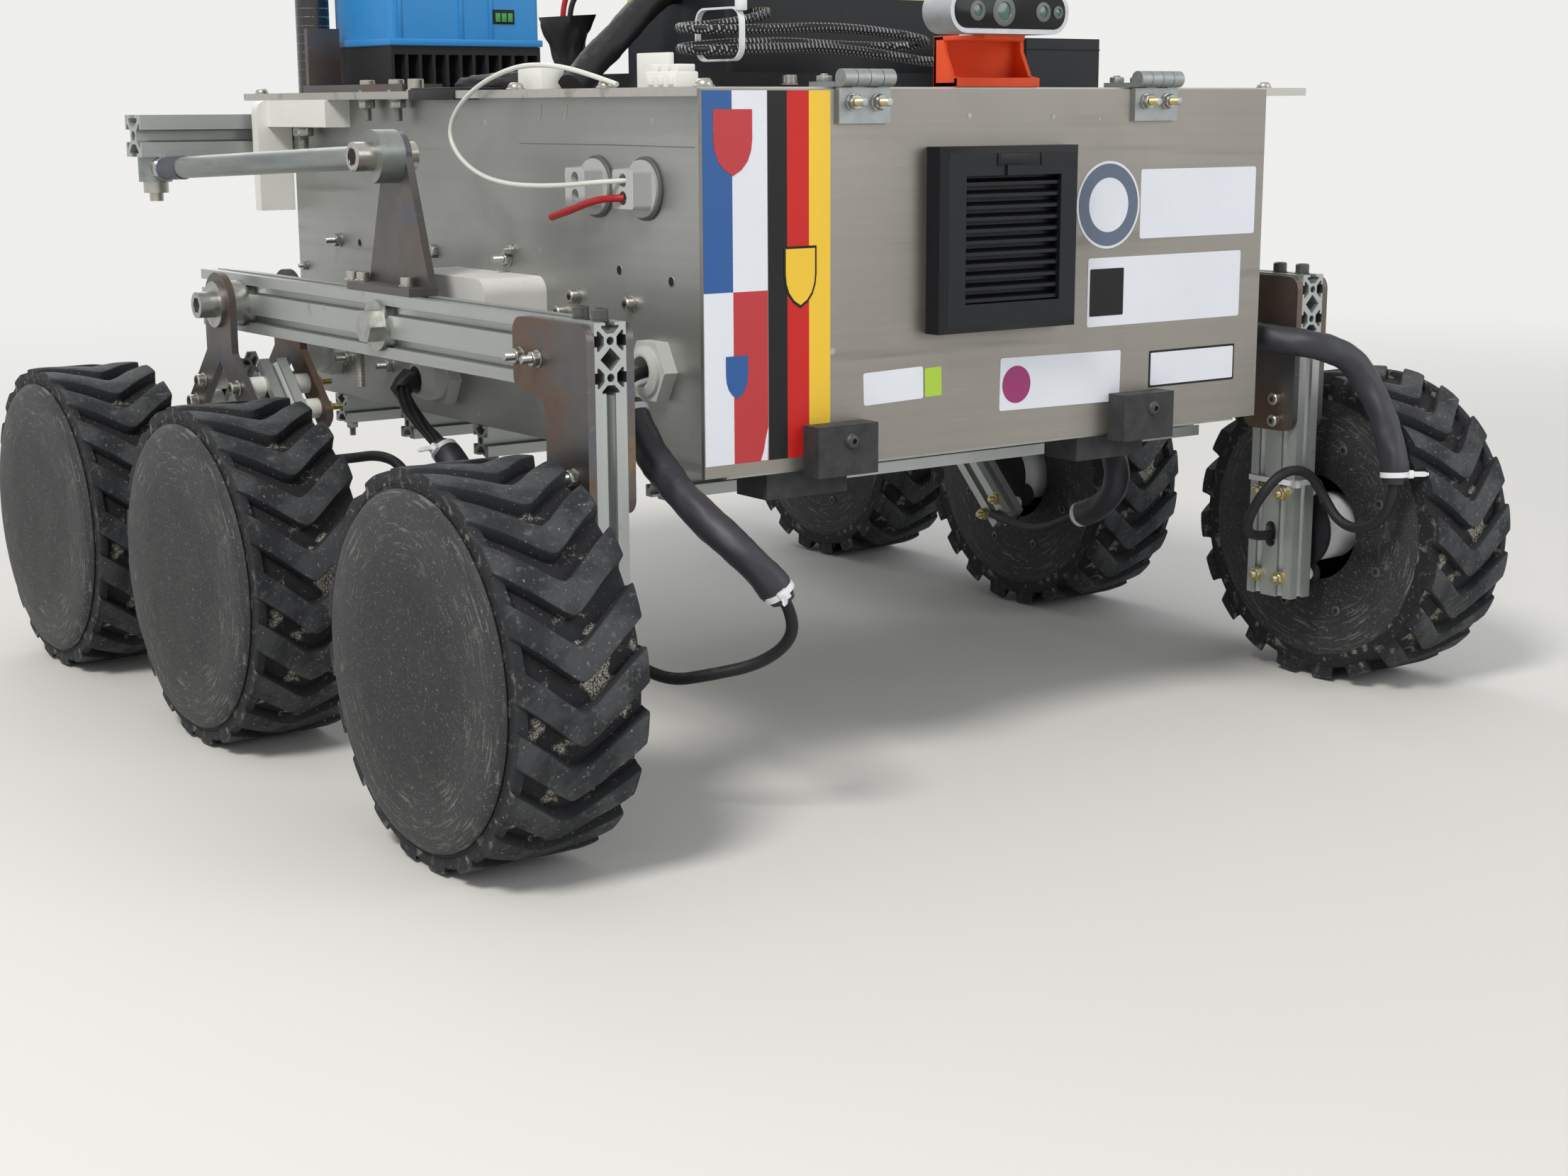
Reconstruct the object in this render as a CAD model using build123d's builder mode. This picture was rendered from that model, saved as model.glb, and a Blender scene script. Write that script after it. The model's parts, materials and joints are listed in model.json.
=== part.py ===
from build123d import *
from math import cos, radians, sin, sqrt, tan
import os

os.makedirs("parts", exist_ok=True)

# Planetary rover with a rocker-bogie suspension, millimetres.
# +Z up, the front door faces -Y, origin on the floor under the middle of the wheelbase.

# Wheels
TYRE_RADIUS = 110.0
TYRE_WIDTH = 77.0
CARCASS_RADIUS = 101.8
LUG_COUNT = 20
LUG_WIDTH = 18.0
LUG_RAKE = 27.0
LUG_ROOT_DEPTH = 4.0
RIM_RADIUS = 92.0
RIM_WALL = 4.0
SEAT_CLEARANCE = 0.1
TYRE_FROM_PROFILE = 45.0
DISC_RADIUS = 98.6
DISC_THICKNESS = 7.0
DISC_BEVEL = 2.0
INNER_PLATE_THICKNESS = 3.0
INNER_PLATE_HOLE_RADIUS = 37.5
HUB_RADIUS = 12.0
HUB_LENGTH = 46.0
BORE_END_WALL = 6.0
SHAFT_RADIUS = 4.0
SHAFT_CLEARANCE = 0.05
SHAFT_END_CLEARANCE = 1.0

# Running gear layout
WHEELBASE = 588.0
BOGIE_SPAN = 271.0
ROCKER_PIVOT_Y = -56.0
PIVOT_Z = 271.0
SIDES = (-1, 1)

# Slotted aluminium profiles
CELL = 20.0
SLOT_OPENING = 6.0
SLOT_LIP = 1.6
SLOT_INSIDE = 11.0
SLOT_SHOULDER = 2.8
SLOT_DEPTH = 6.0
SLOT_FLOOR = 4.4
CORE_RADIUS = 2.3
CHAMBER_RADIUS = 6.4
PROFILE_FROM_BOX = 65.0
LEG_BELOW_AXLE = 44.0
BEAM_REAR_PAST_PIVOT = 70.0
BOGIE_LEG_TOP = 165.0
BOGIE_LEG_SLOPE = 45.0

# Motors and their mounts
MOTOR_RADIUS = 24.0
MOTOR_LENGTH = 35.0
MOTOR_CHAMFER = 2.0
MOUNT_THICKNESS = 3.0
MOUNT_RADIUS = 27.0
MOUNT_LOBE_RADIUS = 9.0
MOUNT_SPACER_LENGTH = 9.0
MOUNT_SPACER_RADIUS = 5.0
MOUNT_BOLT_ACROSS = 10.0
MOUNT_BOLT_ALONG = 30.0
CABLE_SLOT_WIDTH = 9.0
CABLE_SLOT_HEIGHT = 18.0

# Gussets at the rocker's front corner
GUSSET_THICKNESS = 5.0
GUSSET_ARM = 80.0
GUSSET_STRIP = 45.0
GUSSET_TOP_STEP = 1.0
GUSSET_ARM_HEIGHT = 42.5
GUSSET_HEIGHT = 106.0
GUSSET_CORNER = 9.0
GUSSET_INNER_FILLET = 12.0

# Pivots
BUSHING_RADIUS = 16.0
WASHER_THICKNESS = 3.0
PIVOT_BOLT_RADIUS = 6.0
PIVOT_HEX_FLATS = 19.0
PIVOT_HEX_HEIGHT = 8.0
PIVOT_CAP_RADIUS = 9.0
PIVOT_CAP_HEIGHT = 12.0
PIVOT_SOCKET_FLATS = 10.0
PIVOT_SOCKET_DEPTH = 6.0
COLLAR_RADIUS = 15.0
HOUSING_LENGTH = 126.0
HOUSING_HEIGHT = 60.0
HOUSING_DEPTH = 44.0
HOUSING_CORNER = 10.0

# Bogie plates and spacers
BOGIE_PLATE_THICKNESS = 5.0
BOGIE_SPACER_LENGTH = 13.0
BOGIE_SPACER_RADIUS = 7.0
BOGIE_CROWN_RADIUS = 22.0
BOGIE_NECK_DROP = 33.0
BOGIE_FLARE = 42.0
BOGIE_PLATE_CORNER = 8.0
BOGIE_BOLTS = ((30.0, 56.0), (46.0, 72.0))

# Differential
BAR_SIZE = 30.0
BAR_LENGTH = 630.0
BAR_DROP = 10.0
BAR_BEHIND_BOX = 22.0
BAR_SHAFT_RADIUS = 8.0
BAR_FLANGE_RADIUS = 22.0
BAR_FLANGE_THICKNESS = 6.0
BAR_NECK_RADIUS = 15.0
LINK_BELOW_BAR = 10.0
LINK_REAR_INSET = 15.0
LINK_REAR_DROP = 9.0
ROD_RADIUS = 7.6
ROD_END_RADIUS = 16.5
ROD_ROOT_STEP = 2.0
ROD_END_WIDTH = 16.0
LINK_PIN_RADIUS = 5.0
LINK_HEAD_RADIUS = 9.0
LINK_HEAD_HEIGHT = 12.0
LINK_NUT_HEIGHT = 8.0
BALL_HEAD_RADIUS = 12.0
STUD_LENGTH = 23.0
LINK_BRACKET_THICKNESS = 5.0
LINK_BRACKET_FOOT = 86.0
LINK_BRACKET_TOP_RADIUS = 15.0

# Box
BOX_HALF_WIDTH = 206.0
BOX_DEPTH = 560.0
PANEL_THICKNESS = 3.0
DOOR_SIDE_OVERHANG = 17.0
DOOR_BOTTOM = 200.0
DOOR_HEIGHT = 214.0
DOOR_THICKNESS = 3.0
DOOR_GAP = 0.5
DOOR_AHEAD = 4.0
FLOOR_BOTTOM = 198.0
DECK_THICKNESS = 5.0
DECK_PAST_LEFT_PANEL = 59.0
DECK_ABOVE_DOOR = 1.0
DECK_REAR_OVERHANG = 49.0
RAIL_PAST_RIGHT_PANEL = 2.0
RAIL_PAST_LEFT_PANEL = 33.0
RAIL_FRONT_OFFSETS = (65.0, 277.0, 383.0, 488.0)

# Cable glands and entries on the side panels
GLAND_HOLE_RADIUS = 12.0
GLAND_HEX_FLATS = 34.0
GLAND_HEX_HEIGHT = 9.0
GLAND_DOME_RADIUS = 14.5
GLAND_BORE_RADIUS = 9.0
GLAND_RIM = 1.5
# Behind the box's front edge, height, length of the dome
GLANDS = ((68.0, 254.0, 4.0), (330.0, 226.0, 16.0), (507.0, 230.0, 16.0))
# Behind the box's front edge, height
ENTRIES = ((79.0, 358.0), (132.0, 358.0))
ENTRY_FLANGE_RADIUS = 16.5
ENTRY_FLANGE_THICKNESS = 4.0
ENTRY_BODY_SIZE = 24.0
ENTRY_BODY_HEIGHT = 12.0
ENTRY_CORNER = 3.0
ENTRY_TAPER = 4.0
ENTRY_HOLE_RADIUS = 4.0
ENTRY_HOLE_DEPTH = 6.0
ENTRY_HOLE_SPACING = 10.0

# Door hinges, grille, blocks and catches
HINGE_RADIUS = 5.0
HINGE_WIDTH = 37.0
HINGE_XS = (-112.5, 119.5)
HINGE_KNUCKLES = 4
HINGE_GAP = 0.4
HINGE_LEAF_THICKNESS = 3.0
HINGE_LEAF_HEIGHT = 20.0
HINGE_LEAF_DEPTH = 24.0
HINGE_PIN_RADIUS = 2.0
HINGE_PIN_CLEARANCE = 0.1
GRILLE_SIZE = 109.0
GRILLE_THICKNESS = 16.0
GRILLE_BORDER = 17.0
GRILLE_X = -9.6
GRILLE_Z = 326.5
GRILLE_BEVEL = 4.0
LOUVRE_COUNT = 11
LOUVRE_THICKNESS = 2.0
LOUVRE_DEPTH = 8.0
LATCH_WIDTH = 14.0
LATCH_HEIGHT = 6.0
LATCH_DEPTH = 3.0
BLOCK_XS = (-133.0, 109.0)
BLOCK_WIDTH = 43.5
BLOCK_HEIGHT = 29.5
BLOCK_DEPTH = 15.0
BLOCK_BOTTOM = 195.5
CATCH_WIDTH = 58.0
CATCH_HEIGHT = 15.0
CATCH_SHIFT = 16.0
CATCH_DEPTH = 30.0

# Deck equipment
HEATSINK_X = -126.0
HEATSINK_WIDTH = 120.0
HEATSINK_FROM_REAR = 123.5
HEATSINK_DEPTH = 90.0
HEATSINK_HEIGHT = 32.0
HEATSINK_BASE = 6.0
FIN_COUNT = 12
FIN_THICKNESS = 2.5
CONVERTER_HEIGHT = 50.0
CONVERTER_CORNER = 4.0
MAST_X = -205.0
MAST_FROM_REAR = 38.5
MAST_RADIUS = 12.0
MAST_WALL = 2.0
MAST_HEIGHT = 300.0
CLAMP_FOOT_LENGTH = 155.0
CLAMP_FOOT_WIDTH = 30.0
CLAMP_THICKNESS = 5.0
CLAMP_HEIGHT = 40.0
CLAMP_WIDTH = 25.0
CONTROL_X = -5.0
CONTROL_FRONT_Y = -168.0
CONTROL_WIDTH = 190.0
CONTROL_DEPTH = 120.0
CONTROL_HEIGHT = 47.0
CONTROL_LID_HEIGHT = 20.0
CONTROL_BASE_X = -20.0
CONTROL_BASE_WIDTH = 240.0
CONTROL_BASE_DEPTH = 150.0
CONTROL_BASE_HEIGHT = 10.0
CONTROL_CORNER = 5.0
CAMERA_X = -32.7
CAMERA_FRONT_Y = -354.0
CAMERA_WIDTH = 90.0
CAMERA_SIZE = 25.0
CAMERA_BRACKET_X = -10.7
CAMERA_BRACKET_WIDTH = 68.0
CAMERA_BRACKET_DEPTH = 60.0
CAMERA_BRACKET_HEIGHT = 29.5
CAMERA_BRACKET_WALL = 3.0
FRONT_BOX_X = 98.0
FRONT_BOX_WIDTH = 63.0
FRONT_BOX_FRONT_Y = -258.0
FRONT_BOX_DEPTH = 60.0
FRONT_BOX_HEIGHT = 31.0

# White bracket at the rear of the right-hand panel
REAR_ARM_WIDTH = 19.0
REAR_ARM_HEIGHT = 19.0
REAR_ARM_LENGTH = 109.0
REAR_LEG_WIDTH = 27.0
REAR_LEG_THICKNESS = 10.0
REAR_LEG_HEIGHT = 80.0
REAR_LEG_PAST_BOX = 13.5
REAR_LEG_CORNER = 8.0

# Cables
CABLE_RADIUS = 3.5
SLEEVE_RADIUS = 10.5
SIGNAL_RADIUS = 1.5
BUNDLE_RADIUS = 2.5
BEND_SHARE = 0.45
# Corners of each route: distance out from the side panel, y, z
FRONT_RIGHT_ROUTE = (
    (6, -246.5, 254), (26, -250, 253), (33, -265, 240), (31, -277, 219), (33, -299, 204), (35, -329, 190),
    (30, -357, 174), (17, -374, 156), (4, -379, 138), (-3, -375, 117), (7, -357, 100), (29, -337, 93),
    (41, -315, 87), (54, -294, 96), (70, -294, 112),
)
FRONT_LEFT_ROUTE = (
    (6, -246.5, 254), (26, -251, 254), (38, -268, 253), (39, -302, 250), (53, -331, 247), (77, -343, 240),
    (90, -351, 222), (92, -364, 200), (92, -375, 177), (91, -379, 153), (90, -374, 131), (87, -357, 119),
    (84, -338, 122), (82, -325, 140), (68, -323, 158), (46, -320, 160), (32, -313, 143), (32, -301, 122),
    (46, -293.2, 109), (70, -293.2, 109),
)
MIDDLE_RIGHT_ROUTE = (
    (19, 15.5, 226), (38, 11, 224), (42, -5, 213), (40, -22, 200), (37, -42, 189), (35, -62, 175),
    (34, -74, 153), (34, -71, 128), (36, -53, 111), (38, -29, 112), (40, -15, 131), (42, -12, 155),
    (45, 3, 173), (49, 27, 176), (55, 53, 171), (61, 78, 167),
)
MIDDLE_LEFT_ROUTE = (
    (19, 15.5, 226), (38, 11, 224), (43, -5, 214), (42, -30, 203), (42, -70, 193), (42, -120, 180),
    (40, -157, 163), (38, -171, 136), (38, -156, 113), (39, -125, 102), (44, -88, 86), (51, -52, 80),
    (61.4, -4, 84),
)
SIGNAL_ROUTE = (
    (13, -235.5, 363), (22, -230, 362.5), (25.5, -216, 361.5), (25, -190, 359.5), (25, -150, 358),
    (25, -115, 358.5), (25, -82, 363), (25, -55, 374), (25, -43, 389), (24, -55, 405), (23, -83, 419), (21, -125, 429), (18, -163, 429),
    (14, -194, 424), (10, -222, 417),
)
# Corners of the wound cable on the deck: x, y, height above the deck
BUNDLE_ROUTE = (
    (-80, -168.3, 47), (-82, -190, 47), (-105, -205, 42), (-135, -207, 37), (-168, -205, 35), (-168, -239, 33),
    (-125, -241, 34), (-80, -239, 36), (-35, -240, 34), (8, -239, 28), (8, -205, 26), (-35, -203, 26),
    (-80, -205, 28), (-125, -203, 27), (-168, -205, 23), (-168, -239, 21), (-125, -241, 23), (-80, -239, 24),
    (-35, -241, 20), (0, -240, 16), (30, -238, 16), (32, -268, 20), (18, -292, 34), (6, -308, 40),
    (4, -328.7, 41),
)

# Battery pack inside the box
BATTERY_WIDTH = 240.0
BATTERY_DEPTH = 160.0
BATTERY_HEIGHT = 90.0
BATTERY_FROM_REAR = 30.0

# Derived places
PROFILE_INNER_X = BOX_HALF_WIDTH + PROFILE_FROM_BOX
TYRE_INNER_X = PROFILE_INNER_X + TYRE_FROM_PROFILE
AXLE_Z = TYRE_RADIUS
FRONT_AXLE_Y = -WHEELBASE / 2
REAR_AXLE_Y = WHEELBASE / 2
MIDDLE_AXLE_Y = REAR_AXLE_Y - BOGIE_SPAN
BOGIE_PIVOT_Y = REAR_AXLE_Y - BOGIE_SPAN / 2
TYRE_MID_X = TYRE_INNER_X + TYRE_WIDTH / 2
DISC_INNER_X = TYRE_INNER_X + TYRE_WIDTH
DISC_OUTER_X = DISC_INNER_X + DISC_THICKNESS
BEAM_FRONT_Y = FRONT_AXLE_Y - CELL
BEAM_REAR_Y = BOGIE_PIVOT_Y + BEAM_REAR_PAST_PIVOT
BEAM_TOP = PIVOT_Z + CELL
BEAM_BOTTOM = PIVOT_Z - CELL
PROFILE_OUTER_X = PROFILE_INNER_X + CELL
PROFILE_MID_X = PROFILE_INNER_X + CELL / 2
MOUNT_X = PROFILE_OUTER_X + MOUNT_SPACER_LENGTH
MOTOR_X = MOUNT_X + MOUNT_THICKNESS
MOTOR_END_X = MOTOR_X + MOTOR_LENGTH
BOGIE_OUTER_X = PROFILE_OUTER_X + BOGIE_SPACER_LENGTH
BOGIE_INNER_X = PROFILE_INNER_X - BOGIE_SPACER_LENGTH - BOGIE_PLATE_THICKNESS
DOOR_FRONT_Y = BEAM_FRONT_Y - DOOR_AHEAD
BOX_FRONT_Y = DOOR_FRONT_Y + DOOR_THICKNESS + DOOR_GAP
BOX_REAR_Y = BOX_FRONT_Y + BOX_DEPTH
BOX_MID_Y = BOX_FRONT_Y + BOX_DEPTH / 2
FLOOR_TOP = FLOOR_BOTTOM + PANEL_THICKNESS
DECK_TOP = DOOR_BOTTOM + DOOR_HEIGHT + DECK_ABOVE_DOOR
DECK_BOTTOM = DECK_TOP - DECK_THICKNESS
DOOR_WIDTH = 2 * (BOX_HALF_WIDTH + DOOR_SIDE_OVERHANG)
DECK_LEFT = DOOR_WIDTH / 2
DECK_RIGHT = BOX_HALF_WIDTH + DECK_PAST_LEFT_PANEL
RAIL_LEFT = -BOX_HALF_WIDTH - RAIL_PAST_RIGHT_PANEL
RAIL_RIGHT = BOX_HALF_WIDTH + RAIL_PAST_LEFT_PANEL
DECK_REAR_Y = BOX_REAR_Y + DECK_REAR_OVERHANG
HINGE_Y = DOOR_FRONT_Y - HINGE_RADIUS + DECK_ABOVE_DOOR
HINGE_Z = DECK_TOP + HINGE_RADIUS
BAR_Z = DECK_BOTTOM - BAR_DROP - BAR_SIZE / 2
BAR_FRONT_Y = BOX_REAR_Y + BAR_BEHIND_BOX
BAR_Y = BAR_FRONT_Y + BAR_SIZE / 2
LINK_BRACKET_X = PROFILE_INNER_X
LINK_X = LINK_BRACKET_X + LINK_BRACKET_THICKNESS + ROD_END_WIDTH / 2
LINK_Z = BAR_Z - LINK_BELOW_BAR
LINK_REAR_X = BAR_LENGTH / 2 - LINK_REAR_INSET
LINK_REAR_Z = BAR_Z - BAR_SIZE / 2 - LINK_REAR_DROP
BALL_HEAD_HEIGHT = 2 * LINK_REAR_DROP
HEATSINK_FRONT_Y = BOX_REAR_Y - HEATSINK_FROM_REAR
MAST_Y = BOX_REAR_Y - MAST_FROM_REAR
AXLES = (("front", FRONT_AXLE_Y, 90), ("middle", MIDDLE_AXLE_Y, 45), ("rear", REAR_AXLE_Y, 135))


def cross_plane(x, y, z, turn=0):
    """A plane facing +X whose y axis leans from the vertical by a turn in degrees."""
    return Plane(origin=(x, y, z), x_dir=(0, cos(radians(turn)), sin(radians(turn))), z_dir=(1, 0, 0))


def turning_plane(side, y, z):
    """A plane through a wheel axis: local x points away from the rover, local y points up."""
    return Plane(origin=(0, y, z), x_dir=(side, 0, 0), z_dir=(0, -side, 0))


def slot_outline(scale):
    """Outline of one T-slot, centred on the edge of a profile and opening towards +Y."""
    half = [
        (SLOT_OPENING / 2, SLOT_LIP),
        (SLOT_OPENING / 2, -SLOT_LIP),
        (SLOT_INSIDE / 2, -SLOT_LIP),
        (SLOT_INSIDE / 2, -SLOT_SHOULDER),
        (SLOT_FLOOR / 2, -SLOT_DEPTH),
    ]
    points = half + [(-x, y) for x, y in reversed(half)]
    return [(x * scale, y * scale) for x, y in points]


def slotted_section(cell, rows):
    """Cross-section of a slotted profile, one cell wide and some cells tall."""
    height = cell * rows
    scale = cell / CELL
    outline = slot_outline(scale)
    with BuildSketch() as section:
        Rectangle(cell, height)
        for turn in (0, 180):
            with Locations(Location((0, height / 2 * cos(radians(turn)), 0), (0, 0, turn))):
                Polygon(*outline, align=None, mode=Mode.SUBTRACT)
        for row in range(rows):
            centre = (row + 0.5) * cell - height / 2
            for side in SIDES:
                with Locations(Location((side * cell / 2, centre, 0), (0, 0, -90 * side))):
                    Polygon(*outline, align=None, mode=Mode.SUBTRACT)
            with Locations((0, centre)):
                Circle(CORE_RADIUS * scale, mode=Mode.SUBTRACT)
        for joint in range(1, rows):
            with Locations((0, joint * cell - height / 2)):
                RegularPolygon(CHAMBER_RADIUS * scale, 4, mode=Mode.SUBTRACT)
    return section.sketch


RAIL_SECTION = slotted_section(CELL, 1)
BEAM_SECTION = slotted_section(CELL, 2)
BAR_SECTION = slotted_section(BAR_SIZE, 1)

# Floor plate, side panels, rear panel and deck plate of the box
with BuildPart() as floor_plate:
    with BuildSketch(Plane.XY.offset(FLOOR_BOTTOM)):
        with Locations((0, BOX_MID_Y)):
            Rectangle(2 * BOX_HALF_WIDTH, BOX_DEPTH)
    extrude(amount=PANEL_THICKNESS)
floor_plate.part.label = "floor_plate"
export_step(floor_plate.part, "parts/floor_plate.step")

for side, name in ((-1, "side_panel_r"), (1, "side_panel_l")):
    with BuildPart() as side_panel:
        with BuildSketch(Plane.YZ.offset(side * (BOX_HALF_WIDTH - PANEL_THICKNESS / 2))):
            with Locations((BOX_MID_Y, (FLOOR_TOP + DECK_BOTTOM) / 2)):
                Rectangle(BOX_DEPTH, DECK_BOTTOM - FLOOR_TOP)
            with Locations(*[(BOX_FRONT_Y + back, height) for back, height, _ in GLANDS]):
                Circle(GLAND_HOLE_RADIUS, mode=Mode.SUBTRACT)
        extrude(amount=PANEL_THICKNESS / 2, both=True)
    side_panel.part.label = name
    export_step(side_panel.part, f"parts/{name}.step")

with BuildPart() as rear_panel:
    with BuildSketch(Plane.XZ.offset(-BOX_REAR_Y)):
        with Locations((0, (FLOOR_TOP + DECK_BOTTOM) / 2)):
            Rectangle(2 * (BOX_HALF_WIDTH - PANEL_THICKNESS), DECK_BOTTOM - FLOOR_TOP)
    extrude(amount=PANEL_THICKNESS)
rear_panel.part.label = "rear_panel"
export_step(rear_panel.part, "parts/rear_panel.step")

with BuildPart() as deck_plate:
    with BuildSketch(Plane.XY.offset(DECK_BOTTOM)):
        with Locations(((DECK_RIGHT - DECK_LEFT) / 2, (BOX_FRONT_Y + DECK_REAR_Y) / 2)):
            Rectangle(DECK_RIGHT + DECK_LEFT, DECK_REAR_Y - BOX_FRONT_Y)
    extrude(amount=DECK_THICKNESS)
deck_plate.part.label = "deck_plate"
export_step(deck_plate.part, "parts/deck_plate.step")

with BuildPart() as battery_pack:
    with BuildSketch(Plane.XY.offset(FLOOR_TOP)):
        with Locations((0, BOX_REAR_Y - PANEL_THICKNESS - BATTERY_FROM_REAR - BATTERY_DEPTH / 2)):
            Rectangle(BATTERY_WIDTH, BATTERY_DEPTH)
    extrude(amount=BATTERY_HEIGHT)
battery_pack.part.label = "battery_pack"
export_step(battery_pack.part, "parts/battery_pack.step")

# Four cross rails under the floor
with BuildPart() as base_rails:
    for offset_back in RAIL_FRONT_OFFSETS:
        start = (RAIL_LEFT, DOOR_FRONT_Y + offset_back + CELL / 2, FLOOR_BOTTOM - CELL / 2)
        with BuildSketch(Plane(origin=start, x_dir=(0, 1, 0), z_dir=(1, 0, 0))):
            add(RAIL_SECTION)
        extrude(amount=RAIL_RIGHT - RAIL_LEFT)
base_rails.part.label = "base_rails"
export_step(base_rails.part, "parts/base_rails.step")

# White bearing housings on the side panels, with the hole for the rocker's bolt
with BuildPart() as pivot_housings:
    with BuildSketch(cross_plane(BOX_HALF_WIDTH, ROCKER_PIVOT_Y, PIVOT_Z)):
        RectangleRounded(HOUSING_LENGTH, HOUSING_HEIGHT, HOUSING_CORNER)
        Circle(PIVOT_BOLT_RADIUS, mode=Mode.SUBTRACT)
    extrude(amount=HOUSING_DEPTH)
    mirror(about=Plane.YZ)
pivot_housings.part.label = "pivot_housings"
export_step(pivot_housings.part, "parts/pivot_housings.step")

# Rocker beams of 20 x 40 profile, bored for the two bushings
with BuildPart() as rocker_beams:
    with BuildSketch(Plane(origin=(PROFILE_MID_X, BEAM_FRONT_Y, PIVOT_Z), x_dir=(1, 0, 0), z_dir=(0, 1, 0))):
        add(BEAM_SECTION)
    extrude(amount=BEAM_REAR_Y - BEAM_FRONT_Y)
    with BuildSketch(Plane.YZ.offset(PROFILE_INNER_X)):
        with Locations((ROCKER_PIVOT_Y, PIVOT_Z), (BOGIE_PIVOT_Y, PIVOT_Z)):
            Circle(BUSHING_RADIUS)
    extrude(amount=CELL, mode=Mode.SUBTRACT)
    mirror(about=Plane.YZ)
rocker_beams.part.label = "rocker_beams"
export_step(rocker_beams.part, "parts/rocker_beams.step")

# Front legs of the same profile, with the cable slot behind the motor
with BuildPart() as front_legs:
    with BuildSketch(Plane(origin=(PROFILE_MID_X, FRONT_AXLE_Y, AXLE_Z - LEG_BELOW_AXLE),
                           x_dir=(1, 0, 0), z_dir=(0, 0, 1))):
        add(BEAM_SECTION)
    extrude(amount=BEAM_BOTTOM - AXLE_Z + LEG_BELOW_AXLE)
    with BuildSketch(cross_plane(PROFILE_INNER_X, FRONT_AXLE_Y, AXLE_Z)):
        SlotOverall(CABLE_SLOT_HEIGHT, CABLE_SLOT_WIDTH, rotation=90)
    extrude(amount=CELL, mode=Mode.SUBTRACT)
    mirror(about=Plane.YZ)
front_legs.part.label = "front_legs"
export_step(front_legs.part, "parts/front_legs.step")

# Bogie legs of 20 x 20 profile, leaning towards each other
with BuildPart() as bogie_legs:
    for axle_y, lean in ((MIDDLE_AXLE_Y, 1), (REAR_AXLE_Y, -1)):
        along = (0, lean * cos(radians(BOGIE_LEG_SLOPE)), sin(radians(BOGIE_LEG_SLOPE)))
        foot = (PROFILE_MID_X, axle_y - LEG_BELOW_AXLE * along[1], AXLE_Z - LEG_BELOW_AXLE * along[2])
        with BuildSketch(Plane(origin=foot, x_dir=(1, 0, 0), z_dir=along)):
            add(RAIL_SECTION)
        extrude(amount=LEG_BELOW_AXLE + BOGIE_LEG_TOP)
    mirror(about=Plane.YZ)
bogie_legs.part.label = "bogie_legs"
export_step(bogie_legs.part, "parts/bogie_legs.step")

# Steel gussets on both faces of each front corner
with BuildPart() as gussets:
    for face_x in (PROFILE_OUTER_X, PROFILE_INNER_X - GUSSET_THICKNESS):
        with BuildSketch(cross_plane(face_x, BEAM_FRONT_Y, BEAM_TOP - GUSSET_TOP_STEP)) as outline:
            with BuildLine():
                Polyline((0, 0), (GUSSET_ARM, 0), (GUSSET_ARM, -GUSSET_ARM_HEIGHT),
                         (GUSSET_STRIP, -GUSSET_ARM_HEIGHT), (GUSSET_STRIP, -GUSSET_HEIGHT),
                         (0, -GUSSET_HEIGHT), close=True)
            make_face()
            nearest_inner = outline.vertices().sort_by_distance((GUSSET_STRIP, -GUSSET_ARM_HEIGHT))
            fillet(nearest_inner[0], GUSSET_INNER_FILLET)
            bottom_left, bottom_right = outline.vertices().group_by(Axis.Y)[0]
            fillet((bottom_left, bottom_right), GUSSET_CORNER)
            fillet(outline.vertices().group_by(Axis.Y)[-1], GUSSET_CORNER)
            fillet(outline.vertices().sort_by_distance((GUSSET_ARM, -GUSSET_ARM_HEIGHT))[0], GUSSET_CORNER)
        extrude(amount=GUSSET_THICKNESS)
    mirror(about=Plane.YZ)
gussets.part.label = "gussets"
export_step(gussets.part, "parts/gussets.step")

# Rocker pivots: collar, washer, bushing, washer and hexagon head on one bolt
with BuildPart() as rocker_pivots:
    COLLAR_START = BOX_HALF_WIDTH + HOUSING_DEPTH
    COLLAR_END = PROFILE_INNER_X - WASHER_THICKNESS
    HEAD_START = PROFILE_OUTER_X + WASHER_THICKNESS
    with BuildSketch(turning_plane(1, ROCKER_PIVOT_Y, PIVOT_Z)):
        Polygon((BOX_HALF_WIDTH, 0), (BOX_HALF_WIDTH, PIVOT_BOLT_RADIUS), (COLLAR_START, PIVOT_BOLT_RADIUS),
                (COLLAR_START, COLLAR_RADIUS), (COLLAR_END, COLLAR_RADIUS), (COLLAR_END, BUSHING_RADIUS),
                (HEAD_START, BUSHING_RADIUS), (HEAD_START, 0), align=None)
    revolve(axis=Axis((0, ROCKER_PIVOT_Y, PIVOT_Z), (1, 0, 0)))
    with BuildSketch(cross_plane(HEAD_START, ROCKER_PIVOT_Y, PIVOT_Z)):
        RegularPolygon(PIVOT_HEX_FLATS / 2, 6, major_radius=False)
    extrude(amount=PIVOT_HEX_HEIGHT)
    mirror(about=Plane.YZ)
rocker_pivots.part.label = "rocker_pivots"
export_step(rocker_pivots.part, "parts/rocker_pivots.step")

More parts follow.
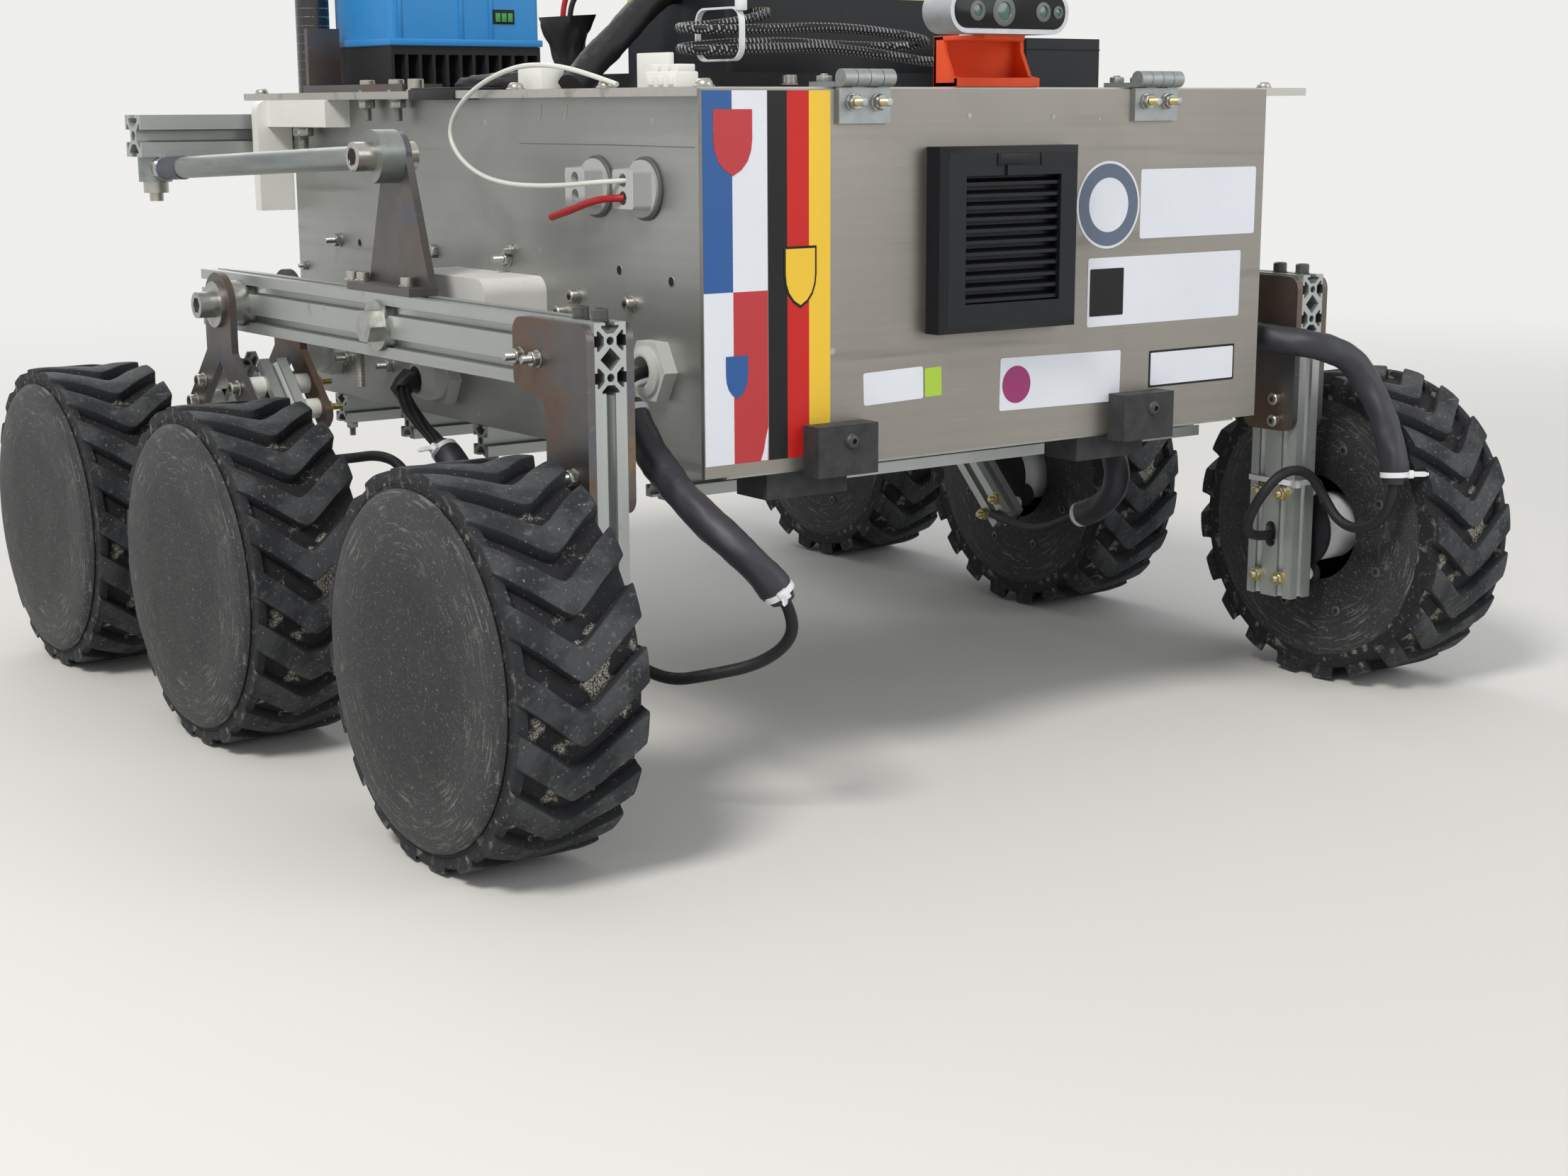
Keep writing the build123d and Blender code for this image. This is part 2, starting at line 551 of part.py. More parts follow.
# Bogie pivots: bushing between the plates, washers outside, socket cap head and inner nut
with BuildPart() as bogie_pivots:
    OUTER_FACE = BOGIE_OUTER_X + BOGIE_PLATE_THICKNESS
    with BuildSketch(turning_plane(1, BOGIE_PIVOT_Y, PIVOT_Z)):
        Polygon((BOGIE_INNER_X - WASHER_THICKNESS, 0), (BOGIE_INNER_X - WASHER_THICKNESS, BUSHING_RADIUS),
                (BOGIE_INNER_X, BUSHING_RADIUS), (BOGIE_INNER_X, PIVOT_BOLT_RADIUS),
                (BOGIE_INNER_X + BOGIE_PLATE_THICKNESS, PIVOT_BOLT_RADIUS),
                (BOGIE_INNER_X + BOGIE_PLATE_THICKNESS, BUSHING_RADIUS), (BOGIE_OUTER_X, BUSHING_RADIUS),
                (BOGIE_OUTER_X, PIVOT_BOLT_RADIUS), (OUTER_FACE, PIVOT_BOLT_RADIUS),
                (OUTER_FACE, BUSHING_RADIUS), (OUTER_FACE + WASHER_THICKNESS, BUSHING_RADIUS),
                (OUTER_FACE + WASHER_THICKNESS, PIVOT_CAP_RADIUS),
                (OUTER_FACE + WASHER_THICKNESS + PIVOT_CAP_HEIGHT, PIVOT_CAP_RADIUS),
                (OUTER_FACE + WASHER_THICKNESS + PIVOT_CAP_HEIGHT, 0), align=None)
    revolve(axis=Axis((0, BOGIE_PIVOT_Y, PIVOT_Z), (1, 0, 0)))
    with BuildSketch(cross_plane(OUTER_FACE + WASHER_THICKNESS + PIVOT_CAP_HEIGHT, BOGIE_PIVOT_Y, PIVOT_Z)):
        RegularPolygon(PIVOT_SOCKET_FLATS / 2, 6, major_radius=False)
    extrude(amount=-PIVOT_SOCKET_DEPTH, mode=Mode.SUBTRACT)
    with BuildSketch(cross_plane(BOGIE_INNER_X - WASHER_THICKNESS, BOGIE_PIVOT_Y, PIVOT_Z)):
        RegularPolygon(PIVOT_HEX_FLATS / 2, 6, major_radius=False)
    extrude(amount=-PIVOT_HEX_HEIGHT)
    mirror(about=Plane.YZ)
bogie_pivots.part.label = "bogie_pivots"
export_step(bogie_pivots.part, "parts/bogie_pivots.step")

# Bogie plates: a round crown and neck that flare down over the tops of both legs
with BuildPart() as bogie_plates:
    for face_x in (BOGIE_OUTER_X, BOGIE_INNER_X):
        with BuildSketch(cross_plane(face_x, BOGIE_PIVOT_Y, PIVOT_Z)) as outline:
            leg_depth = sqrt(2) * CELL
            flare_x = BOGIE_CROWN_RADIUS + BOGIE_FLARE
            flare_z = -BOGIE_NECK_DROP - BOGIE_FLARE
            notch_z = -BOGIE_NECK_DROP + BOGIE_CROWN_RADIUS - leg_depth
            half = [(BOGIE_CROWN_RADIUS, 0), (BOGIE_CROWN_RADIUS, -BOGIE_NECK_DROP), (flare_x, flare_z),
                    (flare_x - leg_depth / 2, flare_z - leg_depth / 2)]
            with BuildLine():
                Polyline(*half, (0, notch_z), *[(-y, z) for y, z in reversed(half)], close=True)
            make_face()
            fillet(outline.vertices().group_by(Axis.Y)[0], BOGIE_PLATE_CORNER)
            for edge_group in (0, -1):
                fillet(outline.vertices().group_by(Axis.X)[edge_group], BOGIE_PLATE_CORNER)
            Circle(BOGIE_CROWN_RADIUS)
            Circle(PIVOT_BOLT_RADIUS, mode=Mode.SUBTRACT)
        extrude(amount=BOGIE_PLATE_THICKNESS)
    mirror(about=Plane.YZ)
bogie_plates.part.label = "bogie_plates"
export_step(bogie_plates.part, "parts/bogie_plates.step")

# White nylon spacers between the bogie plates and the legs, and behind the motor plates
with BuildPart() as nylon_spacers:
    for start_x in (PROFILE_OUTER_X, PROFILE_INNER_X - BOGIE_SPACER_LENGTH):
        with BuildSketch(cross_plane(start_x, BOGIE_PIVOT_Y, PIVOT_Z)):
            with Locations(*[(side * across, -drop) for across, drop in BOGIE_BOLTS for side in SIDES]):
                Circle(BOGIE_SPACER_RADIUS)
        extrude(amount=BOGIE_SPACER_LENGTH)
    for place, axle_y, turn in AXLES:
        across = 2 * MOUNT_BOLT_ACROSS if place == "front" else 0
        with BuildSketch(cross_plane(PROFILE_OUTER_X, axle_y, AXLE_Z, turn)):
            with Locations(*[(along, side * across / 2) for along in (-MOUNT_BOLT_ALONG, MOUNT_BOLT_ALONG)
                             for side in SIDES]):
                Circle(MOUNT_SPACER_RADIUS)
        extrude(amount=MOUNT_SPACER_LENGTH)
    mirror(about=Plane.YZ)
nylon_spacers.part.label = "nylon_spacers"
export_step(nylon_spacers.part, "parts/nylon_spacers.step")

# Motor plates with lobed outlines
with BuildPart() as motor_plates:
    for place, axle_y, turn in AXLES:
        with BuildSketch(cross_plane(MOUNT_X, axle_y, AXLE_Z, turn)):
            Circle(MOUNT_RADIUS)
            Rectangle(2 * MOUNT_BOLT_ALONG, 2 * MOUNT_BOLT_ACROSS)
            with GridLocations(2 * MOUNT_BOLT_ALONG, 2 * MOUNT_BOLT_ACROSS, 2, 2):
                Circle(MOUNT_LOBE_RADIUS)
        extrude(amount=MOUNT_THICKNESS)
    mirror(about=Plane.YZ)
motor_plates.part.label = "motor_plates"
export_step(motor_plates.part, "parts/motor_plates.step")

# Gear motors reaching into the wheels, each with its output shaft
BORE_START_X = DISC_INNER_X - HUB_LENGTH
BORE_END_X = DISC_INNER_X - BORE_END_WALL
with BuildPart() as motors:
    for place, axle_y, turn in AXLES:
        with BuildSketch(turning_plane(1, axle_y, AXLE_Z)):
            Polygon((MOTOR_X, 0), (MOTOR_X, MOTOR_RADIUS), (MOTOR_END_X - MOTOR_CHAMFER, MOTOR_RADIUS),
                    (MOTOR_END_X, MOTOR_RADIUS - MOTOR_CHAMFER), (MOTOR_END_X, SHAFT_RADIUS),
                    (BORE_END_X - SHAFT_END_CLEARANCE, SHAFT_RADIUS),
                    (BORE_END_X - SHAFT_END_CLEARANCE, 0), align=None)
        revolve(axis=Axis((0, axle_y, AXLE_Z), (1, 0, 0)))
    mirror(about=Plane.YZ)
motors.part.label = "motors"
export_step(motors.part, "parts/motors.step")

# Differential bar across the back of the box
with BuildPart() as differential_bar:
    with BuildSketch(Plane(origin=(-BAR_LENGTH / 2, BAR_Y, BAR_Z), x_dir=(0, 1, 0), z_dir=(1, 0, 0))):
        add(BAR_SECTION)
    extrude(amount=BAR_LENGTH)
    with BuildSketch(Plane(origin=(0, BAR_FRONT_Y, BAR_Z), x_dir=(1, 0, 0), z_dir=(0, 1, 0))):
        Circle(BAR_SHAFT_RADIUS)
    extrude(amount=BAR_SIZE, mode=Mode.SUBTRACT)
differential_bar.part.label = "differential_bar"
export_step(differential_bar.part, "parts/differential_bar.step")

with BuildPart() as differential_pivot:
    BAR_BACK_Y = BAR_FRONT_Y + BAR_SIZE
    with BuildSketch(Plane(origin=(0, 0, BAR_Z), x_dir=(1, 0, 0), z_dir=(0, 0, 1))):
        Polygon((0, BOX_REAR_Y), (BAR_FLANGE_RADIUS, BOX_REAR_Y),
                (BAR_FLANGE_RADIUS, BOX_REAR_Y + BAR_FLANGE_THICKNESS),
                (BAR_NECK_RADIUS, BOX_REAR_Y + BAR_FLANGE_THICKNESS), (BAR_NECK_RADIUS, BAR_FRONT_Y),
                (BAR_SHAFT_RADIUS, BAR_FRONT_Y), (BAR_SHAFT_RADIUS, BAR_BACK_Y),
                (BAR_NECK_RADIUS, BAR_BACK_Y), (BAR_NECK_RADIUS, BAR_BACK_Y + WASHER_THICKNESS),
                (0, BAR_BACK_Y + WASHER_THICKNESS), align=None)
    revolve(axis=Axis((0, 0, BAR_Z), (0, 1, 0)))
    with BuildSketch(Plane(origin=(0, BAR_BACK_Y + WASHER_THICKNESS, BAR_Z), x_dir=(1, 0, 0), z_dir=(0, 1, 0))):
        RegularPolygon(PIVOT_HEX_FLATS / 2, 6, major_radius=False)
    extrude(amount=PIVOT_HEX_HEIGHT)
differential_pivot.part.label = "differential_pivot"
export_step(differential_pivot.part, "parts/differential_pivot.step")

# Steel brackets that carry the front ends of the links
with BuildPart() as link_brackets:
    with BuildSketch(Plane.XY.offset(BEAM_TOP)):
        with Locations((PROFILE_MID_X, ROCKER_PIVOT_Y)):
            Rectangle(CELL, LINK_BRACKET_FOOT)
    extrude(amount=LINK_BRACKET_THICKNESS)
    with BuildSketch(cross_plane(LINK_BRACKET_X, ROCKER_PIVOT_Y, LINK_Z)):
        Circle(LINK_BRACKET_TOP_RADIUS)
        base_z = BEAM_TOP - LINK_Z
        Polygon((-LINK_BRACKET_FOOT / 2, base_z), (LINK_BRACKET_FOOT / 2, base_z),
                (LINK_BRACKET_TOP_RADIUS, 0), (-LINK_BRACKET_TOP_RADIUS, 0), align=None)
        Circle(LINK_PIN_RADIUS, mode=Mode.SUBTRACT)
    extrude(amount=LINK_BRACKET_THICKNESS)
    mirror(about=Plane.YZ)
link_brackets.part.label = "link_brackets"
export_step(link_brackets.part, "parts/link_brackets.step")

# Link rods with a rod end in front and a ball stud head behind
with BuildPart() as link_rods:
    front_end = Vector(LINK_X, ROCKER_PIVOT_Y, LINK_Z)
    rear_end = Vector(LINK_REAR_X, BAR_Y, LINK_REAR_Z)
    along = (rear_end - front_end).normalized()
    rod_start = front_end + along * (LINK_HEAD_RADIUS + ROD_ROOT_STEP)
    with BuildSketch(Plane(origin=rod_start, z_dir=along)):
        Circle(ROD_RADIUS)
    extrude(amount=(rear_end - rod_start).length)
    with BuildSketch(Plane.YZ.offset(LINK_X)):
        with Locations((ROCKER_PIVOT_Y, LINK_Z)):
            Circle(ROD_END_RADIUS)
    extrude(amount=ROD_END_WIDTH / 2, both=True)
    with BuildSketch(Plane.XY.offset(LINK_REAR_Z)):
        with Locations((LINK_REAR_X, BAR_Y)):
            Circle(BALL_HEAD_RADIUS)
    extrude(amount=BALL_HEAD_HEIGHT / 2, both=True)
    with BuildSketch(Plane.YZ.offset(LINK_X)):
        with Locations((ROCKER_PIVOT_Y, LINK_Z)):
            Circle(LINK_PIN_RADIUS)
    extrude(amount=ROD_END_WIDTH, both=True, mode=Mode.SUBTRACT)
    with BuildSketch(Plane.XY.offset(LINK_REAR_Z)):
        with Locations((LINK_REAR_X, BAR_Y)):
            Circle(LINK_PIN_RADIUS)
    extrude(amount=BALL_HEAD_HEIGHT, both=True, mode=Mode.SUBTRACT)
    mirror(about=Plane.YZ)
link_rods.part.label = "link_rods"
export_step(link_rods.part, "parts/link_rods.step")

# Screws through the link ends
with BuildPart() as link_bolts:
    OUTER_END = LINK_X + ROD_END_WIDTH / 2
    with BuildSketch(turning_plane(1, ROCKER_PIVOT_Y, LINK_Z)):
        Polygon((LINK_BRACKET_X - LINK_NUT_HEIGHT, 0), (LINK_BRACKET_X - LINK_NUT_HEIGHT, LINK_HEAD_RADIUS),
                (LINK_BRACKET_X, LINK_HEAD_RADIUS), (LINK_BRACKET_X, LINK_PIN_RADIUS),
                (OUTER_END, LINK_PIN_RADIUS), (OUTER_END, LINK_HEAD_RADIUS),
                (OUTER_END + LINK_HEAD_HEIGHT, LINK_HEAD_RADIUS), (OUTER_END + LINK_HEAD_HEIGHT, 0), align=None)
    revolve(axis=Axis((0, ROCKER_PIVOT_Y, LINK_Z), (1, 0, 0)))
    head_bottom = LINK_REAR_Z - BALL_HEAD_HEIGHT / 2
    with BuildSketch(Plane(origin=(LINK_REAR_X, BAR_Y, 0), x_dir=(1, 0, 0), z_dir=(0, -1, 0))):
        Polygon((0, LINK_REAR_Z - STUD_LENGTH), (LINK_PIN_RADIUS, LINK_REAR_Z - STUD_LENGTH),
                (LINK_PIN_RADIUS, head_bottom - LINK_NUT_HEIGHT), (LINK_HEAD_RADIUS, head_bottom - LINK_NUT_HEIGHT),
                (LINK_HEAD_RADIUS, head_bottom), (LINK_PIN_RADIUS, head_bottom),
                (LINK_PIN_RADIUS, head_bottom + BALL_HEAD_HEIGHT), (0, head_bottom + BALL_HEAD_HEIGHT), align=None)
    revolve(axis=Axis((LINK_REAR_X, BAR_Y, 0), (0, 0, 1)))
    mirror(about=Plane.YZ)
link_bolts.part.label = "link_bolts"
export_step(link_bolts.part, "parts/link_bolts.step")

# Cable glands through both side panels
with BuildPart() as glands:
    for back, height, dome in GLANDS:
        gland_y = BOX_FRONT_Y + back
        hex_x = BOX_HALF_WIDTH + GLAND_HEX_HEIGHT
        with BuildSketch(cross_plane(BOX_HALF_WIDTH, gland_y, height)):
            RegularPolygon(GLAND_HEX_FLATS / 2, 6, major_radius=False)
        extrude(amount=GLAND_HEX_HEIGHT)
        with BuildSketch(turning_plane(1, gland_y, height)):
            Polygon((BOX_HALF_WIDTH - PANEL_THICKNESS, 0), (BOX_HALF_WIDTH - PANEL_THICKNESS, GLAND_HOLE_RADIUS),
                    (hex_x, GLAND_HOLE_RADIUS), (hex_x, GLAND_DOME_RADIUS), (hex_x + dome / 2, GLAND_DOME_RADIUS),
                    (hex_x + dome, GLAND_BORE_RADIUS + GLAND_RIM), (hex_x + dome, 0), align=None)
        revolve(axis=Axis((0, gland_y, height), (1, 0, 0)))
        with BuildSketch(cross_plane(BOX_HALF_WIDTH, gland_y, height)):
            Circle(GLAND_BORE_RADIUS)
        extrude(amount=GLAND_HEX_HEIGHT + dome, mode=Mode.SUBTRACT)
    mirror(about=Plane.YZ)
glands.part.label = "glands"
export_step(glands.part, "parts/glands.step")

# Rectangular cable entries on round flanges, on the right-hand panel
with BuildPart() as cable_entries:
    for back, height in ENTRIES:
        with BuildSketch(cross_plane(-BOX_HALF_WIDTH, BOX_FRONT_Y + back, height)):
            Circle(ENTRY_FLANGE_RADIUS)
        extrude(amount=-ENTRY_FLANGE_THICKNESS)
        with BuildSketch(cross_plane(-BOX_HALF_WIDTH - ENTRY_FLANGE_THICKNESS, BOX_FRONT_Y + back, height)):
            RectangleRounded(ENTRY_BODY_SIZE, ENTRY_BODY_SIZE, ENTRY_CORNER)
        extrude(amount=-ENTRY_BODY_HEIGHT, taper=ENTRY_TAPER)
        outer_x = -BOX_HALF_WIDTH - ENTRY_FLANGE_THICKNESS - ENTRY_BODY_HEIGHT
        with BuildSketch(cross_plane(outer_x, BOX_FRONT_Y + back, height)):
            with GridLocations(1, ENTRY_HOLE_SPACING, 1, 2):
                Circle(ENTRY_HOLE_RADIUS)
        extrude(amount=ENTRY_HOLE_DEPTH, mode=Mode.SUBTRACT)
cable_entries.part.label = "cable_entries"
export_step(cable_entries.part, "parts/cable_entries.step")

# Heatsink and converter on the rear of the deck
with BuildPart() as heatsink:
    with BuildSketch(Plane.XY.offset(DECK_TOP)):
        with Locations((HEATSINK_X, HEATSINK_FRONT_Y + HEATSINK_DEPTH / 2)):
            for fin in range(FIN_COUNT):
                pitch = (HEATSINK_WIDTH - FIN_THICKNESS) / (FIN_COUNT - 1)
                with Locations((fin * pitch - (HEATSINK_WIDTH - FIN_THICKNESS) / 2, 0)):
                    Rectangle(FIN_THICKNESS, HEATSINK_DEPTH)
    extrude(amount=HEATSINK_HEIGHT)
    with BuildSketch(Plane.XY.offset(DECK_TOP + HEATSINK_HEIGHT - HEATSINK_BASE)):
        with Locations((HEATSINK_X, HEATSINK_FRONT_Y + HEATSINK_DEPTH / 2)):
            Rectangle(HEATSINK_WIDTH, HEATSINK_DEPTH)
    extrude(amount=HEATSINK_BASE)
heatsink.part.label = "heatsink"
export_step(heatsink.part, "parts/heatsink.step")

with BuildPart() as converter:
    with BuildSketch(Plane.XY.offset(DECK_TOP + HEATSINK_HEIGHT)):
        with Locations((HEATSINK_X, HEATSINK_FRONT_Y + HEATSINK_DEPTH / 2)):
            RectangleRounded(HEATSINK_WIDTH, HEATSINK_DEPTH, CONVERTER_CORNER)
    extrude(amount=CONVERTER_HEIGHT)
converter.part.label = "converter"
export_step(converter.part, "parts/converter.step")

# Mast tube with its clamp angle
with BuildPart() as mast_tube:
    with BuildSketch(Plane.XY.offset(DECK_TOP)):
        with Locations((MAST_X, MAST_Y)):
            Circle(MAST_RADIUS)
            Circle(MAST_RADIUS - MAST_WALL, mode=Mode.SUBTRACT)
    extrude(amount=MAST_HEIGHT)
mast_tube.part.label = "mast_tube"
export_step(mast_tube.part, "parts/mast_tube.step")

with BuildPart() as mast_bracket:
    foot_rear_y = MAST_Y - MAST_RADIUS
    with BuildSketch(Plane.XY.offset(DECK_TOP)):
        with Locations((MAST_X, foot_rear_y - CLAMP_FOOT_LENGTH / 2)):
            Rectangle(CLAMP_FOOT_WIDTH, CLAMP_FOOT_LENGTH)
    extrude(amount=CLAMP_THICKNESS)
    with BuildSketch(Plane.XY.offset(DECK_TOP + CLAMP_THICKNESS)):
        with Locations((MAST_X, foot_rear_y - CLAMP_THICKNESS / 2)):
            Rectangle(CLAMP_WIDTH, CLAMP_THICKNESS)
    extrude(amount=CLAMP_HEIGHT)
mast_bracket.part.label = "mast_bracket"
export_step(mast_bracket.part, "parts/mast_bracket.step")

# Control box and its base near the front of the deck
with BuildPart() as control_base:
    with BuildSketch(Plane.XY.offset(DECK_TOP)):
        with Locations((CONTROL_BASE_X, CONTROL_FRONT_Y + CONTROL_DEPTH / 2)):
            Rectangle(CONTROL_BASE_WIDTH, CONTROL_BASE_DEPTH)
    extrude(amount=CONTROL_BASE_HEIGHT)
control_base.part.label = "control_base"
export_step(control_base.part, "parts/control_base.step")

with BuildPart() as control_box:
    with BuildSketch(Plane.XY.offset(DECK_TOP + CONTROL_BASE_HEIGHT)):
        with Locations((CONTROL_X, CONTROL_FRONT_Y + CONTROL_DEPTH / 2)):
            RectangleRounded(CONTROL_WIDTH, CONTROL_DEPTH, CONTROL_CORNER)
    extrude(amount=CONTROL_HEIGHT)
control_box.part.label = "control_box"
export_step(control_box.part, "parts/control_box.step")

with BuildPart() as control_lid:
    with BuildSketch(Plane.XY.offset(DECK_TOP + CONTROL_BASE_HEIGHT + CONTROL_HEIGHT)):
        with Locations((CONTROL_X, CONTROL_FRONT_Y + CONTROL_DEPTH / 2)):
            RectangleRounded(CONTROL_WIDTH, CONTROL_DEPTH, CONTROL_CORNER)
    extrude(amount=CONTROL_LID_HEIGHT)
control_lid.part.label = "control_lid"
export_step(control_lid.part, "parts/control_lid.step")

# Depth camera on its open bracket at the front edge of the deck
with BuildPart() as camera_bracket:
    BRACKET_REAR_Y = CAMERA_FRONT_Y + CAMERA_BRACKET_DEPTH
    with BuildSketch(Plane(origin=(CAMERA_BRACKET_X, BOX_FRONT_Y, DECK_TOP), x_dir=(1, 0, 0), z_dir=(0, -1, 0))):
        with Locations((0, CAMERA_BRACKET_HEIGHT / 2)):
            Rectangle(CAMERA_BRACKET_WIDTH, CAMERA_BRACKET_HEIGHT)
        with Locations((0, (CAMERA_BRACKET_HEIGHT - CAMERA_BRACKET_WALL) / 2)):
            Rectangle(CAMERA_BRACKET_WIDTH - 2 * CAMERA_BRACKET_WALL,
                      CAMERA_BRACKET_HEIGHT - CAMERA_BRACKET_WALL, mode=Mode.SUBTRACT)
    extrude(amount=BOX_FRONT_Y - BRACKET_REAR_Y)
    with BuildSketch(Plane.XY.offset(DECK_TOP + CAMERA_BRACKET_HEIGHT - CAMERA_BRACKET_WALL)):
        with Locations((CAMERA_BRACKET_X, (CAMERA_FRONT_Y + BRACKET_REAR_Y) / 2)):
            Rectangle(CAMERA_BRACKET_WIDTH, CAMERA_BRACKET_DEPTH)
    extrude(amount=CAMERA_BRACKET_WALL)
camera_bracket.part.label = "camera_bracket"
export_step(camera_bracket.part, "parts/camera_bracket.step")

with BuildPart() as depth_camera:
    camera_z = DECK_TOP + CAMERA_BRACKET_HEIGHT + CAMERA_SIZE / 2
    with BuildSketch(Plane(origin=(CAMERA_X, CAMERA_FRONT_Y, camera_z), x_dir=(1, 0, 0), z_dir=(0, 1, 0))):
        SlotOverall(CAMERA_WIDTH, CAMERA_SIZE)
    extrude(amount=CAMERA_SIZE)
depth_camera.part.label = "depth_camera"
export_step(depth_camera.part, "parts/depth_camera.step")

with BuildPart() as front_box:
    with BuildSketch(Plane.XY.offset(DECK_TOP)):
        with Locations((FRONT_BOX_X, FRONT_BOX_FRONT_Y + FRONT_BOX_DEPTH / 2)):
            Rectangle(FRONT_BOX_WIDTH, FRONT_BOX_DEPTH)
    extrude(amount=FRONT_BOX_HEIGHT)
front_box.part.label = "front_box"
export_step(front_box.part, "parts/front_box.step")

# White bracket under the deck's right-hand edge, with its leg behind the box
with BuildPart() as rear_bracket:
    leg_rear_y = BOX_REAR_Y + REAR_LEG_PAST_BOX
    with BuildSketch(Plane.XY.offset(DECK_BOTTOM)):
        with Locations((-BOX_HALF_WIDTH - REAR_ARM_WIDTH / 2, leg_rear_y - REAR_ARM_LENGTH / 2)):
            Rectangle(REAR_ARM_WIDTH, REAR_ARM_LENGTH)
    extrude(amount=-REAR_ARM_HEIGHT)
    with BuildSketch(Plane.XZ.offset(-leg_rear_y)) as outline:
        with Locations((-BOX_HALF_WIDTH - REAR_LEG_WIDTH / 2, DECK_BOTTOM - REAR_LEG_HEIGHT / 2)):
            Rectangle(REAR_LEG_WIDTH, REAR_LEG_HEIGHT)
        outer_corners = outline.vertices().group_by(Axis.X)[0]
        fillet(outer_corners.sort_by(Axis.Y)[-1], REAR_LEG_CORNER)
    extrude(amount=REAR_LEG_THICKNESS)
rear_bracket.part.label = "rear_bracket"
export_step(rear_bracket.part, "parts/rear_bracket.step")


def placed(route, side):
    """Corners of a route beside one of the side panels."""
    return [Vector(side * (BOX_HALF_WIDTH + out), y, z) for out, y, z in route]


def tube(corners, radius):
    """A cable of straight runs whose bends are as wide as the shorter run beside them allows."""
    bends = []
    for before, corner, after in zip(corners, corners[1:], corners[2:]):
        half_turn = radians((corner - before).get_angle(after - corner) / 2)
        bends.append(BEND_SHARE * min((corner - before).length, (after - corner).length) / tan(half_turn))
    with BuildPart() as run:
        with BuildLine():
            FilletPolyline(*corners, radius=bends)
        with BuildSketch(Plane(origin=corners[0], z_dir=corners[1] - corners[0])):
            Circle(radius)
        sweep()
    return run.part


# Cables beside the box: name, side, route, radius, first and last corner of the loose sleeve
CABLES = (
    ("cable_front_r", -1, FRONT_RIGHT_ROUTE, CABLE_RADIUS, (2, 8)),
    ("cable_front_l", 1, FRONT_LEFT_ROUTE, CABLE_RADIUS, (2, 9)),
    ("cable_middle_r", -1, MIDDLE_RIGHT_ROUTE, CABLE_RADIUS, (4, 11)),
    ("cable_middle_l", 1, MIDDLE_LEFT_ROUTE, CABLE_RADIUS, (4, 9)),
    ("cable_white", -1, SIGNAL_ROUTE, SIGNAL_RADIUS, None),
)
for name, side, route, radius, sleeved in CABLES:
    with BuildPart() as cable:
        add(tube(placed(route, side), radius))
        if sleeved:
            first, last = sleeved
            add(tube(placed(route[first:last + 1], side), SLEEVE_RADIUS))
    cable.part.label = name
    export_step(cable.part, f"parts/{name}.step")

# Wound cable from the control box to the camera
with BuildPart() as cable_bundle:
    add(tube([Vector(x, y, DECK_TOP + height) for x, y, height in BUNDLE_ROUTE], BUNDLE_RADIUS))
cable_bundle.part.label = "cable_bundle"
export_step(cable_bundle.part, "parts/cable_bundle.step")

# Hinge leaves: even knuckles belong to the deck, odd ones to the door
KNUCKLE_PITCH = HINGE_WIDTH / HINGE_KNUCKLES


def knuckle_locations(centre_x, parity):
    """Middles of every other knuckle of one hinge."""
    first = centre_x - HINGE_WIDTH / 2 + KNUCKLE_PITCH / 2
    return [first + number * KNUCKLE_PITCH for number in range(HINGE_KNUCKLES) if number % 2 == parity]


with BuildPart() as hinge_deck_leaves:
    for centre_x in HINGE_XS:
        with BuildSketch(Plane.XY.offset(DECK_TOP)):
            with Locations((centre_x, HINGE_Y + HINGE_RADIUS + HINGE_GAP + HINGE_LEAF_DEPTH / 2)):
                Rectangle(HINGE_WIDTH, HINGE_LEAF_DEPTH)
        extrude(amount=HINGE_LEAF_THICKNESS)
        for knuckle_x in knuckle_locations(centre_x, 0):
            with BuildSketch(Plane.YZ.offset(knuckle_x)):
                with Locations((HINGE_Y, HINGE_Z)):
                    Circle(HINGE_RADIUS)
                with Locations((HINGE_Y + HINGE_RADIUS, DECK_TOP + HINGE_LEAF_THICKNESS / 2)):
                    Rectangle(2 * HINGE_RADIUS, HINGE_LEAF_THICKNESS)
            extrude(amount=(KNUCKLE_PITCH - HINGE_GAP) / 2, both=True)
        with BuildSketch(Plane.YZ.offset(centre_x)):
            with Locations((HINGE_Y, HINGE_Z)):
                Circle(HINGE_PIN_RADIUS)
        extrude(amount=HINGE_WIDTH / 2, both=True)
hinge_deck_leaves.part.label = "hinge_deck_leaves"
export_step(hinge_deck_leaves.part, "parts/hinge_deck_leaves.step")

with BuildPart() as hinge_door_leaves:
    leaf_top = DECK_TOP - HINGE_GAP
    for centre_x in HINGE_XS:
        with BuildSketch(Plane.XZ.offset(-DOOR_FRONT_Y)):
            with Locations((centre_x, leaf_top - HINGE_LEAF_HEIGHT / 2)):
                Rectangle(HINGE_WIDTH, HINGE_LEAF_HEIGHT)
        extrude(amount=HINGE_LEAF_THICKNESS)
        for knuckle_x in knuckle_locations(centre_x, 1):
            with BuildSketch(Plane.YZ.offset(knuckle_x)):
                with Locations((HINGE_Y, HINGE_Z)):
                    Circle(HINGE_RADIUS)
                with Locations((DOOR_FRONT_Y - HINGE_LEAF_THICKNESS / 2, leaf_top)):
                    Rectangle(HINGE_LEAF_THICKNESS, 2 * HINGE_RADIUS)
                with Locations((HINGE_Y, HINGE_Z)):
                    Circle(HINGE_PIN_RADIUS + HINGE_PIN_CLEARANCE, mode=Mode.SUBTRACT)
            extrude(amount=(KNUCKLE_PITCH - HINGE_GAP) / 2, both=True)
hinge_door_leaves.part.label = "hinge_door_leaves"
export_step(hinge_door_leaves.part, "parts/hinge_door_leaves.step")

